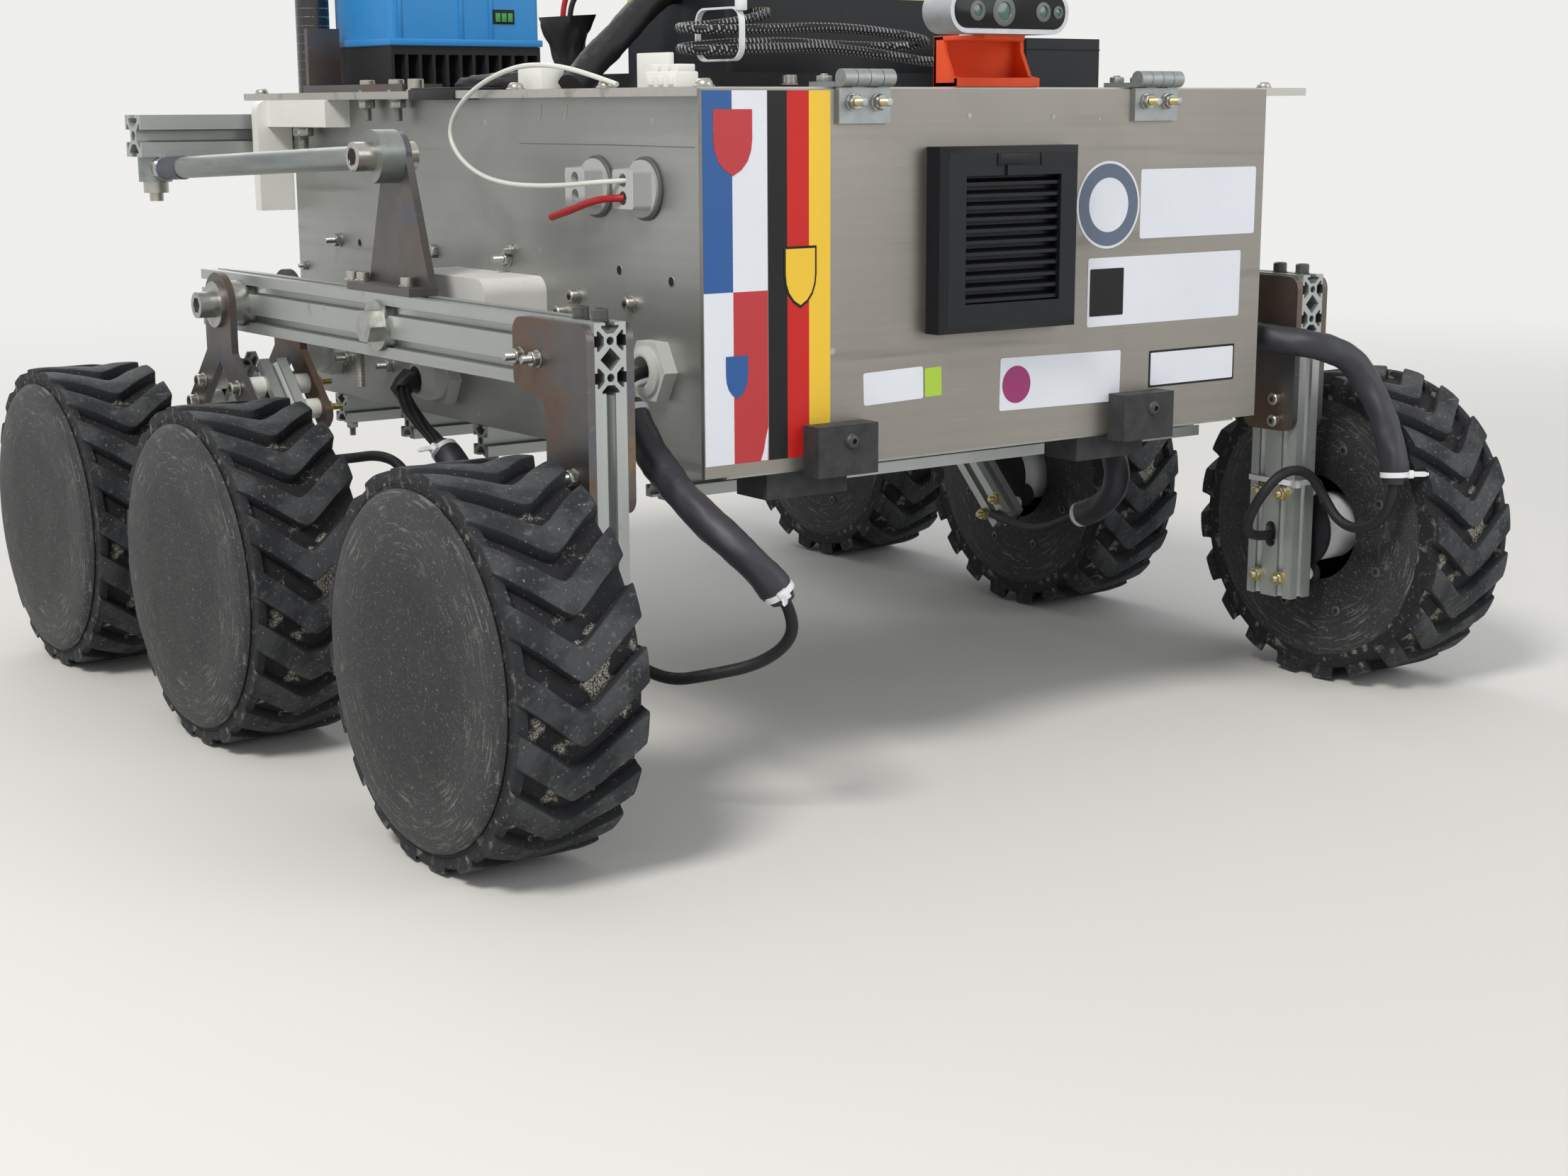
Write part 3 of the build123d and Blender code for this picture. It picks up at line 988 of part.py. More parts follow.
# Front door panel with its blocks, filter grille and the catches below it
with BuildPart() as door_panel:
    with BuildSketch(Plane.XZ.offset(-DOOR_FRONT_Y - DOOR_THICKNESS)):
        with Locations((0, DOOR_BOTTOM + DOOR_HEIGHT / 2)):
            Rectangle(DOOR_WIDTH, DOOR_HEIGHT)
    extrude(amount=DOOR_THICKNESS)
door_panel.part.label = "door_panel"
export_step(door_panel.part, "parts/door_panel.step")

with BuildPart() as door_blocks:
    with BuildSketch(Plane.XZ.offset(-DOOR_FRONT_Y)):
        with Locations(*[(x, BLOCK_BOTTOM + BLOCK_HEIGHT / 2) for x in BLOCK_XS]):
            Rectangle(BLOCK_WIDTH, BLOCK_HEIGHT)
    extrude(amount=BLOCK_DEPTH)
door_blocks.part.label = "door_blocks"
export_step(door_blocks.part, "parts/door_blocks.step")

with BuildPart() as door_catches:
    for x in BLOCK_XS:
        with BuildSketch(Plane.XZ.offset(-BOX_FRONT_Y - CATCH_DEPTH)):
            with Locations((x - CATCH_SHIFT, FLOOR_BOTTOM - CATCH_HEIGHT / 2)):
                Rectangle(CATCH_WIDTH, CATCH_HEIGHT)
        extrude(amount=CATCH_DEPTH)
door_catches.part.label = "door_catches"
export_step(door_catches.part, "parts/door_catches.step")

with BuildPart() as filter_grille:
    grille_back = Plane(origin=(GRILLE_X, DOOR_FRONT_Y, GRILLE_Z), x_dir=(1, 0, 0), z_dir=(0, -1, 0))
    opening = GRILLE_SIZE - 2 * GRILLE_BORDER
    with BuildSketch(grille_back):
        Rectangle(GRILLE_SIZE, GRILLE_SIZE)
    extrude(amount=GRILLE_THICKNESS)
    chamfer(filter_grille.faces().sort_by(Axis.Y)[0].edges(), GRILLE_BEVEL)
    with BuildSketch(grille_back.offset(GRILLE_THICKNESS - LOUVRE_DEPTH)):
        Rectangle(opening, opening)
    extrude(amount=LOUVRE_DEPTH, mode=Mode.SUBTRACT)
    pitch = opening / LOUVRE_COUNT
    for row in range(LOUVRE_COUNT):
        height = GRILLE_Z - opening / 2 + (row + 0.5) * pitch
        lean = (pitch - LOUVRE_THICKNESS) / 2
        front_y = DOOR_FRONT_Y - GRILLE_THICKNESS + LOUVRE_THICKNESS
        with BuildSketch(Plane.YZ.offset(GRILLE_X)):
            Polygon((front_y, height - lean), (front_y, height - lean + LOUVRE_THICKNESS),
                    (front_y + LOUVRE_DEPTH, height + lean), (front_y + LOUVRE_DEPTH, height + lean - LOUVRE_THICKNESS),
                    align=None)
        extrude(amount=opening / 2, both=True)
    with BuildSketch(Plane.XY.offset(GRILLE_Z + GRILLE_SIZE / 2 - GRILLE_BORDER)):
        with Locations((GRILLE_X, DOOR_FRONT_Y - GRILLE_THICKNESS)):
            Rectangle(LATCH_WIDTH, LATCH_DEPTH)
    extrude(amount=LATCH_HEIGHT)
filter_grille.part.label = "filter_grille"
export_step(filter_grille.part, "parts/filter_grille.step")


def tyre_body():
    """One tyre about the X axis: a faceted carcass with V-shaped lugs whose points lead downwards in front."""
    half = TYRE_WIDTH / 2
    sector = 360 / LUG_COUNT
    bend = LUG_WIDTH / 2
    rake = LUG_RAKE / 2
    with BuildPart() as body:
        with BuildSketch(Plane.YZ.offset(-half)):
            RegularPolygon(CARCASS_RADIUS, LUG_COUNT)
        extrude(amount=TYRE_WIDTH)
        for number in range(LUG_COUNT):
            angle = radians(number * sector)
            root = CARCASS_RADIUS - LUG_ROOT_DEPTH
            outward = (0, cos(angle), sin(angle))
            centre = (0, root * cos(angle), root * sin(angle))
            with BuildSketch(Plane(origin=centre, x_dir=(1, 0, 0), z_dir=outward)):
                Polygon((-half, rake + bend), (0, -rake + bend), (half, rake + bend),
                        (half, rake - bend), (0, -rake - bend), (-half, rake - bend), align=None)
            extrude(amount=2 * (TYRE_RADIUS - root))
        with BuildSketch(Plane.YZ.offset(-half)):
            RegularPolygon(TYRE_RADIUS, LUG_COUNT)
        extrude(amount=TYRE_WIDTH, mode=Mode.INTERSECT)
        with BuildSketch(Plane.YZ.offset(-half)):
            Circle(RIM_RADIUS + SEAT_CLEARANCE)
        extrude(amount=TYRE_WIDTH, mode=Mode.SUBTRACT)
    return body.part


TYRE = tyre_body()
PLATE_END_X = TYRE_INNER_X + INNER_PLATE_THICKNESS

for place, axle_y, turn in AXLES:
    for side, letter in ((-1, "r"), (1, "l")):
        name = f"tyre_{place}_{letter}"
        with BuildPart() as tyre:
            with Locations((side * TYRE_MID_X, axle_y, AXLE_Z)):
                add(TYRE)
        tyre.part.label = name
        export_step(tyre.part, f"parts/{name}.step")

        name = f"wheel_{place}_{letter}"
        with BuildPart() as wheel:
            bore = SHAFT_RADIUS + SHAFT_CLEARANCE
            with BuildSketch(turning_plane(side, axle_y, AXLE_Z)):
                Polygon((DISC_OUTER_X, 0), (DISC_OUTER_X, DISC_RADIUS - DISC_BEVEL),
                        (DISC_OUTER_X - DISC_BEVEL, DISC_RADIUS), (DISC_INNER_X, DISC_RADIUS),
                        (DISC_INNER_X, RIM_RADIUS), (TYRE_INNER_X, RIM_RADIUS),
                        (TYRE_INNER_X, INNER_PLATE_HOLE_RADIUS), (PLATE_END_X, INNER_PLATE_HOLE_RADIUS),
                        (PLATE_END_X, RIM_RADIUS - RIM_WALL), (DISC_INNER_X, RIM_RADIUS - RIM_WALL),
                        (DISC_INNER_X, HUB_RADIUS), (BORE_START_X, HUB_RADIUS), (BORE_START_X, bore),
                        (BORE_END_X, bore), (BORE_END_X, 0), align=None)
            revolve(axis=Axis((0, axle_y, AXLE_Z), (1, 0, 0)))
        wheel.part.label = name
        export_step(wheel.part, f"parts/{name}.step")
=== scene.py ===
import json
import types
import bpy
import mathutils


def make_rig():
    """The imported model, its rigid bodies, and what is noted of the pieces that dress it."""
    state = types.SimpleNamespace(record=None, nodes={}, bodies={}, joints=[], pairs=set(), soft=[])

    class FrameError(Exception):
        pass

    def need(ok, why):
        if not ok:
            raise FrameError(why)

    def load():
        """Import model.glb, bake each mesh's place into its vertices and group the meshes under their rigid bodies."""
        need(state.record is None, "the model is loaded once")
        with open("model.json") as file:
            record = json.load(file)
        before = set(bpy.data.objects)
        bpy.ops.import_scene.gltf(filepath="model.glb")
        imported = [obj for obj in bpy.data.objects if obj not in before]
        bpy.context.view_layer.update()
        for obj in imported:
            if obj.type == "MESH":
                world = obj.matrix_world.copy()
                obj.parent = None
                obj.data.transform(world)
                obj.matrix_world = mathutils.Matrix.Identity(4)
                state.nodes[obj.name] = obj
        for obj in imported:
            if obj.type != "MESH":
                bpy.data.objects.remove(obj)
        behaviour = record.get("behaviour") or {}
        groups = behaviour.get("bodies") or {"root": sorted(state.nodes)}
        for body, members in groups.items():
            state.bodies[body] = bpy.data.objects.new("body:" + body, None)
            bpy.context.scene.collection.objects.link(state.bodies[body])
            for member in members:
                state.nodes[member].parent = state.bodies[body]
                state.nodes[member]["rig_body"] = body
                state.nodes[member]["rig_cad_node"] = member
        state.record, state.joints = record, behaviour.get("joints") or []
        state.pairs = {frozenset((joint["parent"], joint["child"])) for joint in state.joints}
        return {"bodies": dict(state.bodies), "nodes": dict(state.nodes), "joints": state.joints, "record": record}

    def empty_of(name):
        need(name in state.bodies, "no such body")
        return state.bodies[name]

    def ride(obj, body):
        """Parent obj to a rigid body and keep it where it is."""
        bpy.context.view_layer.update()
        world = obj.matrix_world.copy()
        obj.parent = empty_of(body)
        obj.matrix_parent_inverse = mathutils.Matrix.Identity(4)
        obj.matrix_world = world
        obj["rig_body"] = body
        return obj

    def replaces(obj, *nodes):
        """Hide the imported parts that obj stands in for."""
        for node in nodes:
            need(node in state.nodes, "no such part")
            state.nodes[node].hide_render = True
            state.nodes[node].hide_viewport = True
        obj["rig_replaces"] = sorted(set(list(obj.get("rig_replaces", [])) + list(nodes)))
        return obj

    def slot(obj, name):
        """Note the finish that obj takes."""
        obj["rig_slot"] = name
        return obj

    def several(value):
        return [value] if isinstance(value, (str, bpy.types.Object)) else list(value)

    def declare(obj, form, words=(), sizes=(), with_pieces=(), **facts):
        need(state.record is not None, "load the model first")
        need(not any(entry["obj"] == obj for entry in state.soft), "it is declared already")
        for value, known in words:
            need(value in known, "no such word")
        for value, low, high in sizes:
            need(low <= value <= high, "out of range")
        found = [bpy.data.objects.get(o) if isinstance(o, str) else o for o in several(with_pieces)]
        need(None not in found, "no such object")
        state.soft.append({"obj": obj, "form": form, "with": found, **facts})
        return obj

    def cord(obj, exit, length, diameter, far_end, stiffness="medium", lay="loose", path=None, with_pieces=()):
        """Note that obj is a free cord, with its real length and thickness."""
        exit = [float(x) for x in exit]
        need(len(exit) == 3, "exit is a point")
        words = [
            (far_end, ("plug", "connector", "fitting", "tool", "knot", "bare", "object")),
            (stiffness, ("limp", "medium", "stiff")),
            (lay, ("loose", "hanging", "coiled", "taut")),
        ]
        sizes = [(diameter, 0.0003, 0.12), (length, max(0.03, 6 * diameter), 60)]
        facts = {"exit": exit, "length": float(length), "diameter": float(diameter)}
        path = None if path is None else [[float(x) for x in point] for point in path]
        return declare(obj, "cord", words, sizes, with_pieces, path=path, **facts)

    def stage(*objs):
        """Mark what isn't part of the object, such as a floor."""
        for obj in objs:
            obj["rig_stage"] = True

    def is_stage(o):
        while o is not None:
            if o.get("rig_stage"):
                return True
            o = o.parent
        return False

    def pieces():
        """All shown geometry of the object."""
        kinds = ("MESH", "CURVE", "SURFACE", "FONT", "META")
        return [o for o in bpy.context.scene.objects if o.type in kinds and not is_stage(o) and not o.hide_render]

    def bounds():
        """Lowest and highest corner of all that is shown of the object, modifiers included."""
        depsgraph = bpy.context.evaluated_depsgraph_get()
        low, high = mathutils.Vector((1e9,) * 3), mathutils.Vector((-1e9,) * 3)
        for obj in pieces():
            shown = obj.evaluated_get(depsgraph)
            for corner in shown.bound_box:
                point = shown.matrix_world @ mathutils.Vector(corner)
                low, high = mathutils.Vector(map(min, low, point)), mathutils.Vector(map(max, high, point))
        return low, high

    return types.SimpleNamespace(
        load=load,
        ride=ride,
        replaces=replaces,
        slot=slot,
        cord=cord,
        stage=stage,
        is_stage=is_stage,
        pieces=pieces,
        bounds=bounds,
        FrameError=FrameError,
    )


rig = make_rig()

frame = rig.load()
cad_low, cad_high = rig.bounds()

import json
import random
from math import cos, pi, radians, sin, sqrt

import bmesh
import bpy
from mathutils import Matrix, Vector, noise

random.seed(11)
MM = 0.001
SIDES = (("r", -1), ("l", 1))
PLACES = (("front", -294.0), ("middle", 23.0), ("rear", 294.0))
AXLE_Z = 110.0
TYRE_MID = 354.5
TYRE_HALF = 38.5
PANEL_X = 206.0      # outer face of a side panel
LEG_X = 281.0        # middle of the running gear's profiles
DECK_Z = 415.0       # top of the deck
EDGE_X = -214.0      # row of screws at the deck's right-hand edge
DOOR_Y = -318.0      # outer face of the door
UP, DOWN, AHEAD = (0, 0, 1), (0, 0, -1), (0, -1, 0)

# ---------------------------------------------------------------- materials
DUST = "bab2a0"
SAND = "c4beb0"
BACKDROP = (0.86, 0.86, 0.85, 1)
DARK = 40            # plastics with less green than this, out of 255, reflect less, as matt black does
LESS, USUAL = 0.28, 0.5
MATS = {}            # every finished material by its name


def rgb(colour):
    """A colour written as on screen, in hexadecimal, as the linear value that a socket takes."""
    shares = (value / 255 for value in bytes.fromhex(colour))
    return (*(v / 12.92 if v <= 0.04045 else ((v + 0.055) / 1.055) ** 2.4 for v in shares), 1.0)


def lengthwise(axis, along, across):
    """A stretch for grain that runs along one axis."""
    return tuple(along if name == axis else across for name in "XYZ")


class Nodes:
    """A node tree that is written as nested calls."""

    def __init__(self, tree):
        self.tree = tree

    def feed(self, node, inputs):
        """Gives a node's inputs plain values or the outputs of other nodes."""
        for slot, item in inputs.items():
            if isinstance(item, bpy.types.NodeSocket):
                self.tree.links.new(item, node.inputs[slot])
            else:
                node.inputs[slot].default_value = item
        return node

    def new(self, kind, inputs=None, **settings):
        node = self.tree.nodes.new("ShaderNode" + kind)
        for key, value in settings.items():
            setattr(node, key, value)
        return self.feed(node, inputs or {})

    def maths(self, kind, *values):
        return self.new("Math", dict(enumerate(values)), operation=kind).outputs[0]

    def times(self, first, second):
        return self.maths("MULTIPLY", first, second)

    def direct(self):
        """1 for the camera's own rays and for reflections."""
        rays = self.new("LightPath").outputs
        return self.maths("MAXIMUM", rays["Is Camera Ray"], rays["Is Glossy Ray"])

    def blend(self, mask, first, second):
        return self.new("MixShader", {0: mask, 1: first.outputs[0], 2: second.outputs[0]}).outputs[0]


class Surface(Nodes):
    """A procedural material built up in layers over one base colour."""

    def __init__(self, name, colour, rough, metallic=0.0, coat=0.0, specular=USUAL):
        self.mat = MATS[name] = bpy.data.materials.new(name)
        self.mat.use_nodes = True
        super().__init__(self.mat.node_tree)
        self.shader = next(n for n in self.tree.nodes if n.type == "BSDF_PRINCIPLED")
        self.feed(self.shader, {"Base Color": rgb(colour), "Roughness": rough, "Metallic": metallic,
                                "Coat Weight": coat, "Specular IOR Level": specular})
        self.colour = self.new("RGB").outputs[0]
        self.colour.default_value = rgb(colour)
        self.rough, self.normal = rough, None
        self.place = self.new("TexCoord").outputs["Object"]

    def mapped(self, stretch=(1, 1, 1), turn=(0, 0, 0), source=None):
        return self.new("Mapping", {"Scale": stretch, "Rotation": [radians(angle) for angle in turn],
                                    "Vector": self.place if source is None else source}).outputs[0]

    def noise(self, scale, detail=3.0, rough=0.55, stretch=(1, 1, 1), turn=(0, 0, 0), warp=0.0):
        return self.new("TexNoise", {"Scale": scale, "Detail": detail, "Roughness": rough, "Distortion": warp,
                                     "Vector": self.mapped(stretch, turn)}).outputs["Fac"]

    def spots(self, low, high, *args, **kwargs):
        """Where a noise lies above low, in full above high."""
        return self.step(self.noise(*args, **kwargs), low, high)

    def cells(self, scale):
        return self.new("TexVoronoi", {"Scale": scale, "Vector": self.mapped()}).outputs["Distance"]

    def wave(self, scale, axis, turn=(0, 0, 0)):
        return self.new("TexWave", {"Scale": scale, "Vector": self.mapped(turn=turn)},
                        bands_direction=axis).outputs["Fac"]

    def step(self, mask, low, high):
        """0 below low and 1 above high, or the other way round where low is the larger."""
        flip = low > high
        return self.new("MapRange", {"Value": mask, "From Min": min(low, high), "From Max": max(low, high),
                                     "To Min": float(flip), "To Max": float(not flip)},
                        interpolation_type="SMOOTHSTEP").outputs["Result"]

    def up(self):
        """1 where the surface faces the sky."""
        normal = self.new("NewGeometry").outputs["Normal"]
        return self.step(self.new("SeparateXYZ", {0: normal}).outputs["Z"], 0.2, 0.9)

    def edges(self, low=0.52, high=0.58):
        """1 along edges, or in hollows where low is the larger."""
        return self.step(self.new("NewGeometry").outputs["Pointiness"], low, high)

    def part(self, axis):
        return self.new("SeparateXYZ", {0: self.place}).outputs[axis]

    def radius(self):
        """Distance from the part's own X axis, which is a wheel's axle."""
        squares = [self.times(self.part(axis), self.part(axis)) for axis in "YZ"]
        return self.maths("SQRT", self.maths("ADD", *squares))

    def tint(self, mask, colour, amount):
        self.colour = self.new("Mix", {"Factor": self.times(mask, amount), "A": self.colour, "B": rgb(colour)},
                               data_type="RGBA").outputs["Result"]

    def shade(self, mask, amount):
        """Makes the colour up to that share darker and lighter with the mask."""
        value = self.maths("ADD", self.times(mask, 2 * amount), 1 - amount)
        self.colour = self.new("HueSaturation", {"Color": self.colour, "Value": value}).outputs[0]

    def gloss(self, mask, change):
        self.rough = self.maths("ADD", self.times(mask, change), self.rough)

    def bump(self, mask, distance, strength):
        below = {} if self.normal is None else {"Normal": self.normal}
        self.normal = self.new("Bump", {"Strength": strength, "Distance": distance, "Height": mask,
                                        **below}).outputs["Normal"]

    def scratches(self, colour, amount, scale, turns, low=0.70, high=0.74, thin=14):
        for index, turn in enumerate(turns):
            fine = self.noise(scale * (1 + 0.3 * index), 2.0, 0.5, stretch=(1, thin, thin), turn=turn)
            self.tint(self.step(fine, low, high), colour, amount)

    def done(self):
        ends = {"Base Color": self.colour}
        if isinstance(self.rough, bpy.types.NodeSocket):
            ends["Roughness"] = self.new("Clamp", {"Value": self.rough, "Min": 0.05}).outputs[0]
        if self.normal is not None:
            ends["Normal"] = self.normal
        self.feed(self.shader, ends)


def shine(colour):
    return LESS if bytes.fromhex(colour)[1] < DARK else USUAL


def sheet_metal(name, colour, along, worn=0.3):
    """Rolled aluminium sheet: grain along one way, smudges, dull spots and a few scratches."""
    grain = lengthwise(along, 3, 260)
    s = Surface(name, colour, 0.31, metallic=0.85)
    s.shade(s.noise(7, 4), 0.12)
    s.shade(s.noise(1, 2, stretch=grain), 0.07)
    streak = s.spots(0.6, 0.74, 6, 3, stretch=lengthwise(along, 0.4, 9))
    s.tint(streak, "605c56", 0.35)
    s.gloss(s.noise(11, 4, 0.6), 0.22)
    s.gloss(streak, 0.12)
    s.tint(s.times(s.step(s.cells(42), 0.11, 0.05), s.spots(0.52, 0.6, 9)), "d2d0ca", 0.4)
    s.scratches("deddd8", worn, 26, ((10, 35, 20), (60, 10, 75)), thin=22)
    s.shade(s.noise(2.2, 2, stretch=(1, 1, 0.5)), 0.16)
    smudge = s.spots(0.5, 0.72, 5, 5, 0.62, warp=0.5)
    s.tint(smudge, "7e7c77", 0.3)
    s.gloss(smudge, 0.1)
    s.bump(s.noise(1, 2, stretch=grain), 0.00006, 0.35)
    s.bump(s.noise(14, 2), 0.0006, 0.12)
    s.done()


def profile_metal(name, along):
    """Anodised extrusion: die lines along its length, satin, with grey smears."""
    grain = lengthwise(along, 2, 900)
    s = Surface(name, "b0b4b2", 0.34, metallic=0.72)
    s.shade(s.noise(18, 4), 0.09)
    s.shade(s.noise(1, 2, stretch=grain), 0.07)
    s.gloss(s.noise(30, 3), 0.14)
    s.tint(s.spots(0.66, 0.74, 60, 4), "787670", 0.35)
    s.tint(s.times(s.up(), s.spots(0.5, 0.7, 130, 4)), DUST, 0.35)
    s.bump(s.noise(1, 2, stretch=grain), 0.00004, 0.35)
    s.done()


def tinted_steel():
    """Hot-rolled steel with brown and blue-grey heat tints, rusty spots and scratches."""
    s = Surface("steel", "686562", 0.34, metallic=0.82)
    s.tint(s.spots(0.44, 0.62, 13, 4, warp=0.6), "70584a", 0.75)
    s.tint(s.spots(0.52, 0.68, 19, 3, warp=1.0), "60636c", 0.8)
    s.shade(s.noise(90, 4), 0.14)
    s.gloss(s.noise(22, 4), 0.2)
    s.tint(s.spots(0.62, 0.70, 40, 4), "8c704c", 0.45)
    s.scratches("969088", 0.35, 50, ((80, 0, 20), (25, 60, 100)))
    s.bump(s.noise(700, 3), 0.00008, 0.5)
    s.done()


def plated(name, colour, rough, tint=None):
    s = Surface(name, colour, rough, metallic=0.95)
    s.shade(s.noise(160, 3), 0.16)
    if tint:
        s.tint(s.spots(0.45, 0.65, 110, 3), tint, 0.5)
    s.gloss(s.noise(260, 3), 0.2)
    # painted shade: darker in the hollows, where shade falls
    s.tint(s.edges(0.48, 0.42), "403c36", 0.6)
    s.bump(s.noise(1500, 2), 0.00004, 0.4)
    s.done()


def galvanised():
    """Zinc-coated tube with dull streaks along its length."""
    s = Surface("galvanised", "929794", 0.36, metallic=0.8)
    s.tint(s.spots(0.45, 0.7, 40, 4, stretch=(1, 0.12, 1)), "687070", 0.7)
    s.shade(s.noise(160, 3, stretch=(1, 0.2, 1)), 0.12)
    s.gloss(s.noise(70, 3), 0.16)
    s.bump(s.noise(400, 2, stretch=(1, 0.2, 1)), 0.00005, 0.4)
    s.done()


def plastic(name, colour, rough, dusty=0.25, grain=900, layers=None, wear=None, coat=0.0):
    """Moulded or printed plastic. layers names the way its printed layers are stacked."""
    s = Surface(name, colour, rough, coat=coat, specular=shine(colour))
    s.shade(s.noise(28, 3), 0.08)
    if layers:
        lines = s.wave(2600, layers)
        s.bump(lines, 0.00012, 0.5)
        s.shade(lines, 0.05)
    s.bump(s.noise(grain, 3), 0.00007, 0.5)
    s.gloss(s.noise(60, 3), 0.15)
    if wear:
        s.tint(s.times(s.edges(), s.noise(120, 3)), wear, 0.6)
    if dusty:
        s.tint(s.times(s.up(), s.spots(0.48, 0.75, 240, 4)), DUST, 0.6 * dusty)
    s.done()


def rubber():
    """Tyre rubber. A tyre's own origin is its axle, so the grooves are known by their radius."""
    s = Surface("rubber", "24262a", 0.66, specular=0.32)
    s.shade(s.noise(30, 4), 0.16)
    s.shade(s.noise(500, 3), 0.14)
    radius = s.radius()
    groove, worn = s.step(radius, 0.1055, 0.1020), s.step(radius, 0.1085, 0.1096)
    # the lug tops are lightened in mottled spots: partly worn rubber, partly a painted highlight on the tops
    s.tint(s.times(worn, s.spots(0.40, 0.62, 34, 4)), "545658", 0.5)
    s.tint(s.times(worn, s.spots(0.56, 0.70, 260, 3, 0.6)), "7a7974", 0.35)
    # painted shade: the floors of the grooves are darkened
    s.tint(groove, "141416", 0.55)
    inside = s.step(s.maths("ABSOLUTE", s.part("X")), 0.0375, 0.0355)
    heap = s.times(s.times(groove, inside), s.spots(0.555, 0.63, 38, 5, 0.6))
    grains = s.times(heap, s.spots(0.40, 0.56, 1100, 2, 0.6))
    s.tint(grains, SAND, 0.85)
    s.bump(grains, 0.0008, 0.5)
    s.tint(s.spots(0.645, 0.70, 420, 4, 0.7), SAND, 0.6)
    s.tint(s.times(s.edges(0.54, 0.62), s.spots(0.55, 0.68, 150, 3)), SAND, 0.4)
    s.gloss(s.noise(90, 3), 0.12)
    s.bump(s.noise(1300, 4), 0.00016, 0.6)
    s.bump(s.noise(210, 3), 0.0004, 0.35)
    s.done()


def disc_plastic():
    """Printed wheel disc: a fine slanting raster, scratches round the rim, chalk and dust."""
    s = Surface("disc", "1f2123", 0.42, specular=0.32)
    s.shade(s.noise(16, 4), 0.22)
    radius = s.radius()
    polar = s.new("CombineXYZ", {"X": s.times(s.maths("ARCTAN2", s.part("Y"), s.part("Z")), 5.0),
                                 "Y": s.times(radius, 700), "Z": s.times(s.part("X"), 12)}).outputs[0]
    rub = s.new("TexNoise", {"Scale": 1.0, "Detail": 4.0, "Vector": polar}).outputs["Fac"]
    s.tint(s.step(radius, 0.045, 0.088), "3a3c3d", 0.7)
    band = s.times(s.step(radius, 0.045, 0.078), s.spots(0.36, 0.6, 20, 4))
    s.tint(s.times(s.step(rub, 0.55, 0.66), band), "848480", 0.55)
    raster = s.times(*(s.wave(900, "Z", (turn, 0, 0)) for turn in (45, -45)))
    s.bump(raster, 0.00012, 0.5)
    s.shade(raster, 0.14)
    s.scratches("96948c", 0.4, 30, ((20, 0, 0), (75, 0, 0), (130, 0, 0)), 0.66, 0.71, 16)
    s.tint(s.spots(0.62, 0.70, 70, 5, 0.65), "76746e", 0.3)
    s.tint(s.spots(0.70, 0.75, 900, 3, 0.7), DUST, 0.5)
    s.gloss(s.noise(28, 4), 0.2)
    s.done()


def woven():
    """Twill of carbon round the mast: short pale strokes in two leaning rows, a painted sheen on the dark weave."""
    s = Surface("mast", "161618", 0.32, coat=0.6)
    around = s.times(s.maths("ARCTAN2", s.part("Y"), s.part("X")), 0.012)
    unrolled = s.new("CombineXYZ", {"X": around, "Y": s.part("Z")}).outputs[0]
    checks = s.new("TexChecker", {"Scale": 1.0, "Vector": s.mapped((420, 231, 1), (0, 0, 45), unrolled)})
    checks = checks.outputs["Fac"]
    # painted sheen: pale strokes on the checks where the weave would catch light
    s.tint(s.times(checks, s.spots(0.3, 0.6, 700, 2)), "b2ac9c", 0.85)
    s.bump(checks, 0.00015, 0.4)
    s.done()


def cloth_tape():
    s = Surface("tape", "1c1c1f", 0.38, specular=0.36)
    s.shade(s.noise(60, 4), 0.2)
    s.bump(s.noise(90, 4, warp=0.8), 0.0008, 0.5)
    s.bump(s.wave(1500, "Z"), 0.00005, 0.3)
    s.gloss(s.noise(80, 3), 0.25)
    s.tint(s.times(s.up(), s.spots(0.55, 0.75, 200, 4)), DUST, 0.12)
    s.done()


def braided():
    """Black braid with silver dots on the camera's cable, most of which runs across."""
    s = Surface("braid", "141517", 0.42, specular=0.3)
    dots = s.step(s.times(*(s.wave(150, "X", (0, 24 * way, 38 * way)) for way in (1, -1))), 0.36, 0.52)
    s.tint(dots, "b0b2b6", 0.7)
    s.bump(dots, 0.0002, 0.4)
    s.gloss(s.noise(90, 2), 0.15)
    s.done()


def vinyl(name, colour):
    s = Surface(name, colour, 0.33, specular=shine(colour))
    s.shade(s.noise(22, 3), 0.05)
    s.shade(s.noise(600, 2), 0.03)
    s.bump(s.noise(35, 3), 0.0003, 0.25)
    s.gloss(s.noise(50, 3), 0.15)
    s.tint(s.spots(0.68, 0.76, 300, 4, 0.7), DUST, 0.3)
    s.done()


sheet_metal("panel", "a6a7a4", "Y")
sheet_metal("deck", "bab8b2", "X")
sheet_metal("door", "928e87", "X", 0.06)
for axis in "XYZ":
    profile_metal(f"profile_{axis.lower()}", axis)
for make in (tinted_steel, galvanised, rubber, disc_plastic, woven, cloth_tape, braided):
    make()
for row in (
        ("zinc", "aeafaa", 0.27, "868988"), ("stainless", "b2afa8", 0.22), ("yellow_zinc", "beb07a", 0.3, "aaaaa0"),
        ("hinge", "9ea2a2", 0.42), ("shell", "babcc0", 0.4)):
    plated(*row)
plastic("entry_seal", "585c5b", 0.5, dusty=0.1)
plastic("burnished", "28282a", 0.34, dusty=0.3, wear="787670")
plastic("white", "e8e8e2", 0.38)
plastic("housing", "eeede9", 0.34, dusty=0.35, layers="Z")
plastic("motor", "e8e9ec", 0.3, dusty=0.15)
plastic("black", "222326", 0.5, layers="Z", wear="606060")
plastic("black_smooth", "1e2024", 0.36, dusty=0.3)
plastic("black_metal", "242528", 0.42)
plastic("grille", "14161b", 0.34, dusty=0, grain=1800)
